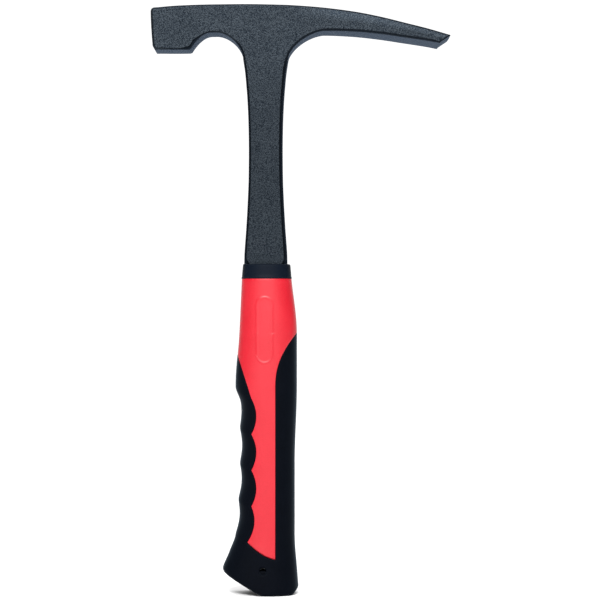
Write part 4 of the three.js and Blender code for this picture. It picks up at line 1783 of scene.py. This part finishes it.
@dataclass
class Collar:
    """The rubber collar round the shank's foot: an oval ring with a rounded shoulder and a lip."""

    sizes: FrameSizes
    front: float = 13.5
    back: float = 14.4
    half: float = 12.0
    squareness: float = 2.5
    lip: float = 0.2
    waist: float = 0.25
    shoulder_inset: float = 0.62
    shoulder_round: float = 0.9
    slot_half: float = 12.45
    slot_deep: float = 6.3
    slot_squareness: float = 9.0
    sides: int = 160

    def build(self) -> bpy.types.Object:
        """Builds the collar.

        In each direction round the handle, the section runs from the slot's lower edge out along the seat,
        up over the lip and the side, round the shoulder, back in over the top and down the slot.

        Returns:
            The collar.
        """
        angle = np.linspace(0, 2 * np.pi, self.sides, endpoint=False)
        low, top = self.sizes.collar_seat_z, self.sizes.collar_top_z
        middle, reach = (self.back - self.front) / 2, (self.back + self.front) / 2

        def oval(out: float, z: float) -> Array:
            """A ring of the outside, offset outwards.

            Args:
                out: How far it is offset.
                z: Its height.

            Returns:
                The ring's points.
            """
            radius = superoval(angle, reach + out, self.half + out, self.squareness)
            x, y = middle + radius * np.cos(angle), radius * np.sin(angle)
            return np.stack([x, y, np.full(self.sides, z)], -1)

        def slot(grow: float, z: float) -> Array:
            """A ring of the slot that the shank passes through."""
            radius = superoval(angle, self.slot_half + grow, self.slot_deep + grow, self.slot_squareness)
            return np.stack([radius * np.cos(angle), radius * np.sin(angle), np.full(self.sides, z)], -1)

        seat = oval(self.lip - 0.15, low)
        inner_low = slot(0.0, low)
        rings = [inner_low, mix(inner_low, seat, 0.5), seat]
        rings += [oval(self.lip, low + 0.12), oval(self.lip, low + 0.45)]
        rings += [oval(0.02, low + 0.62), oval(-0.1, low + 0.9), oval(-self.waist, low + 3.0)]
        rings.append(oval(-self.shoulder_inset + 0.05, top - self.shoulder_round - 0.6))
        for turn in np.linspace(0, QUARTER, 6):
            inset = self.shoulder_inset + self.shoulder_round * (1 - math.cos(turn))
            rings.append(oval(-inset, top - self.shoulder_round * (1 - math.sin(turn))))
        rim = slot(0.25, top)
        rings += [mix(rings[-1], rim, 0.5), rim, slot(0.05, top - 0.2), slot(0.0, top - 0.5), inner_low]
        points = np.stack(rings)
        quads = grid_quads(len(points), self.sides, wrap=True)
        piece = make_piece("collar_ring", points.reshape(-1, 3), quads, {})
        piece.data.materials.append(COLLAR_RUBBER.build())
        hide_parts("collar")
        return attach(piece, BODY)


# ---- Stage, light and camera ----


@dataclass(frozen=True)
class Softbox:
    """A square area light, placed in metres and aimed at the hammer's middle."""

    name: str
    place: tuple[float, float, float]
    size: float
    power: float

    def build(self, target: tuple[float, float, float]) -> None:
        """Adds the light and turns it towards the target.

        Args:
            target: The point to aim at, in metres.
        """
        light = bpy.data.lights.new(self.name, "AREA")
        light.size = self.size
        light.energy = self.power
        lamp = bpy.data.objects.new(self.name, light)
        lamp.location = self.place
        lamp.visible_camera = False
        lamp.rotation_euler = (Vector(target) - Vector(self.place)).to_track_quat("-Z", "Y").to_euler()
        bpy.context.scene.collection.objects.link(lamp)


@dataclass
class Studio:
    """A pale floor, a bright room and soft lights, with the camera level with the middle of the hammer."""

    target: tuple[float, float, float] = (0.019, 0.0, 0.164)
    camera_place: tuple[float, float, float] = (0.0191, -1.2, 0.1642)
    view_width: float = 0.336
    sensor_mm: float = 36.0
    floor_half: float = 6.0
    floor_colour: tuple[float, float, float] = (0.88, 0.88, 0.88)
    back_strength: float = 1.1
    front_strength: float = 0.46
    side_share: float = 0.04
    top_strength: float = 0.8
    lights: tuple[Softbox, ...] = (
        Softbox("front_softbox", (-0.05, -2.2, 0.4), 0.9, 2.7),
        Softbox("high_softbox", (-0.1, -1.8, 1.36), 0.65, 62.0),
    )

    def build(self) -> None:
        """Adds the floor, the room's light, the lights and the camera."""
        self.floor()
        self.room()
        for light in self.lights:
            light.build(self.target)
        lens = bpy.data.cameras.new("camera")
        lens.sensor_width = self.sensor_mm
        lens.lens = self.sensor_mm * -self.camera_place[1] / self.view_width
        camera = bpy.data.objects.new("camera", lens)
        camera.location = self.camera_place
        camera.rotation_euler = (QUARTER, 0, 0)
        bpy.context.scene.collection.objects.link(camera)
        bpy.context.scene.camera = camera
        bpy.context.scene.view_settings.view_transform = "Standard"

    def floor(self) -> None:
        """Adds the floor: a wide plane with a plain pale finish."""
        half = self.floor_half / MM
        points = np.array([[-half, -half, 0], [half, -half, 0], [half, half, 0], [-half, half, 0]], float)
        mesh = bpy.data.meshes.new("floor")
        mesh.from_pydata((points * MM).tolist(), [], [[0, 1, 2, 3]])
        floor = bpy.data.objects.new("floor", mesh)
        bpy.context.scene.collection.objects.link(floor)
        material = bpy.data.materials.new("pale_floor")
        material.use_nodes = True
        shader = material.node_tree.nodes["Principled BSDF"]
        shader.inputs["Base Color"].default_value = rgba(self.floor_colour)
        shader.inputs["Roughness"].default_value = 0.9
        shader.inputs["Specular IOR Level"].default_value = 0.0
        mesh.materials.append(material)

    def room(self) -> None:
        """Lights the room: bright behind and above, dimmer at the sides, and white to the camera."""
        world = bpy.data.worlds.new("room")
        world.use_nodes = True
        bpy.context.scene.world = world
        sheet = NodeSheet(world.node_tree)
        way = sheet.add("ShaderNodeTexCoord").outputs["Generated"]
        split = sheet.add("ShaderNodeSeparateXYZ", {"Vector": way}).outputs
        side = sheet.ramp(sheet.calculate(Sum.ABSOLUTE, split["X"]), 0.5, 0.9, 1.0, self.side_share)
        depth = sheet.ramp(split["Y"], -0.5, 0.3, self.front_strength, self.back_strength)
        above = sheet.ramp(split["Z"], 0.3, 0.8, 0.0, self.top_strength)
        level = sheet.calculate(Sum.ADD, sheet.calculate(Sum.MULTIPLY, side, depth), above)
        seen = sheet.add("ShaderNodeLightPath").outputs["Is Camera Ray"]
        strength = sheet.calculate(Sum.MAXIMUM, level, seen)
        background = sheet.add("ShaderNodeBackground", {"Color": (1, 1, 1, 1), "Strength": strength})
        sheet.add("ShaderNodeOutputWorld", {"Surface": background.outputs["Background"]})


def main() -> None:
    logging.basicConfig(level=logging.INFO, format="%(name)s: %(message)s")
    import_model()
    sizes = FrameSizes.read()
    forging = Forging(sizes)
    steel = forging.build()
    form = HandleForm(sizes)
    handle = (RubberGrip(form).build(), RedCore(form).build(forging))
    for piece in (steel, *handle, Collar(sizes).build()):
        LOG.info("placed %s", piece.name)
    Studio().build()


if __name__ == "__main__":
    main()
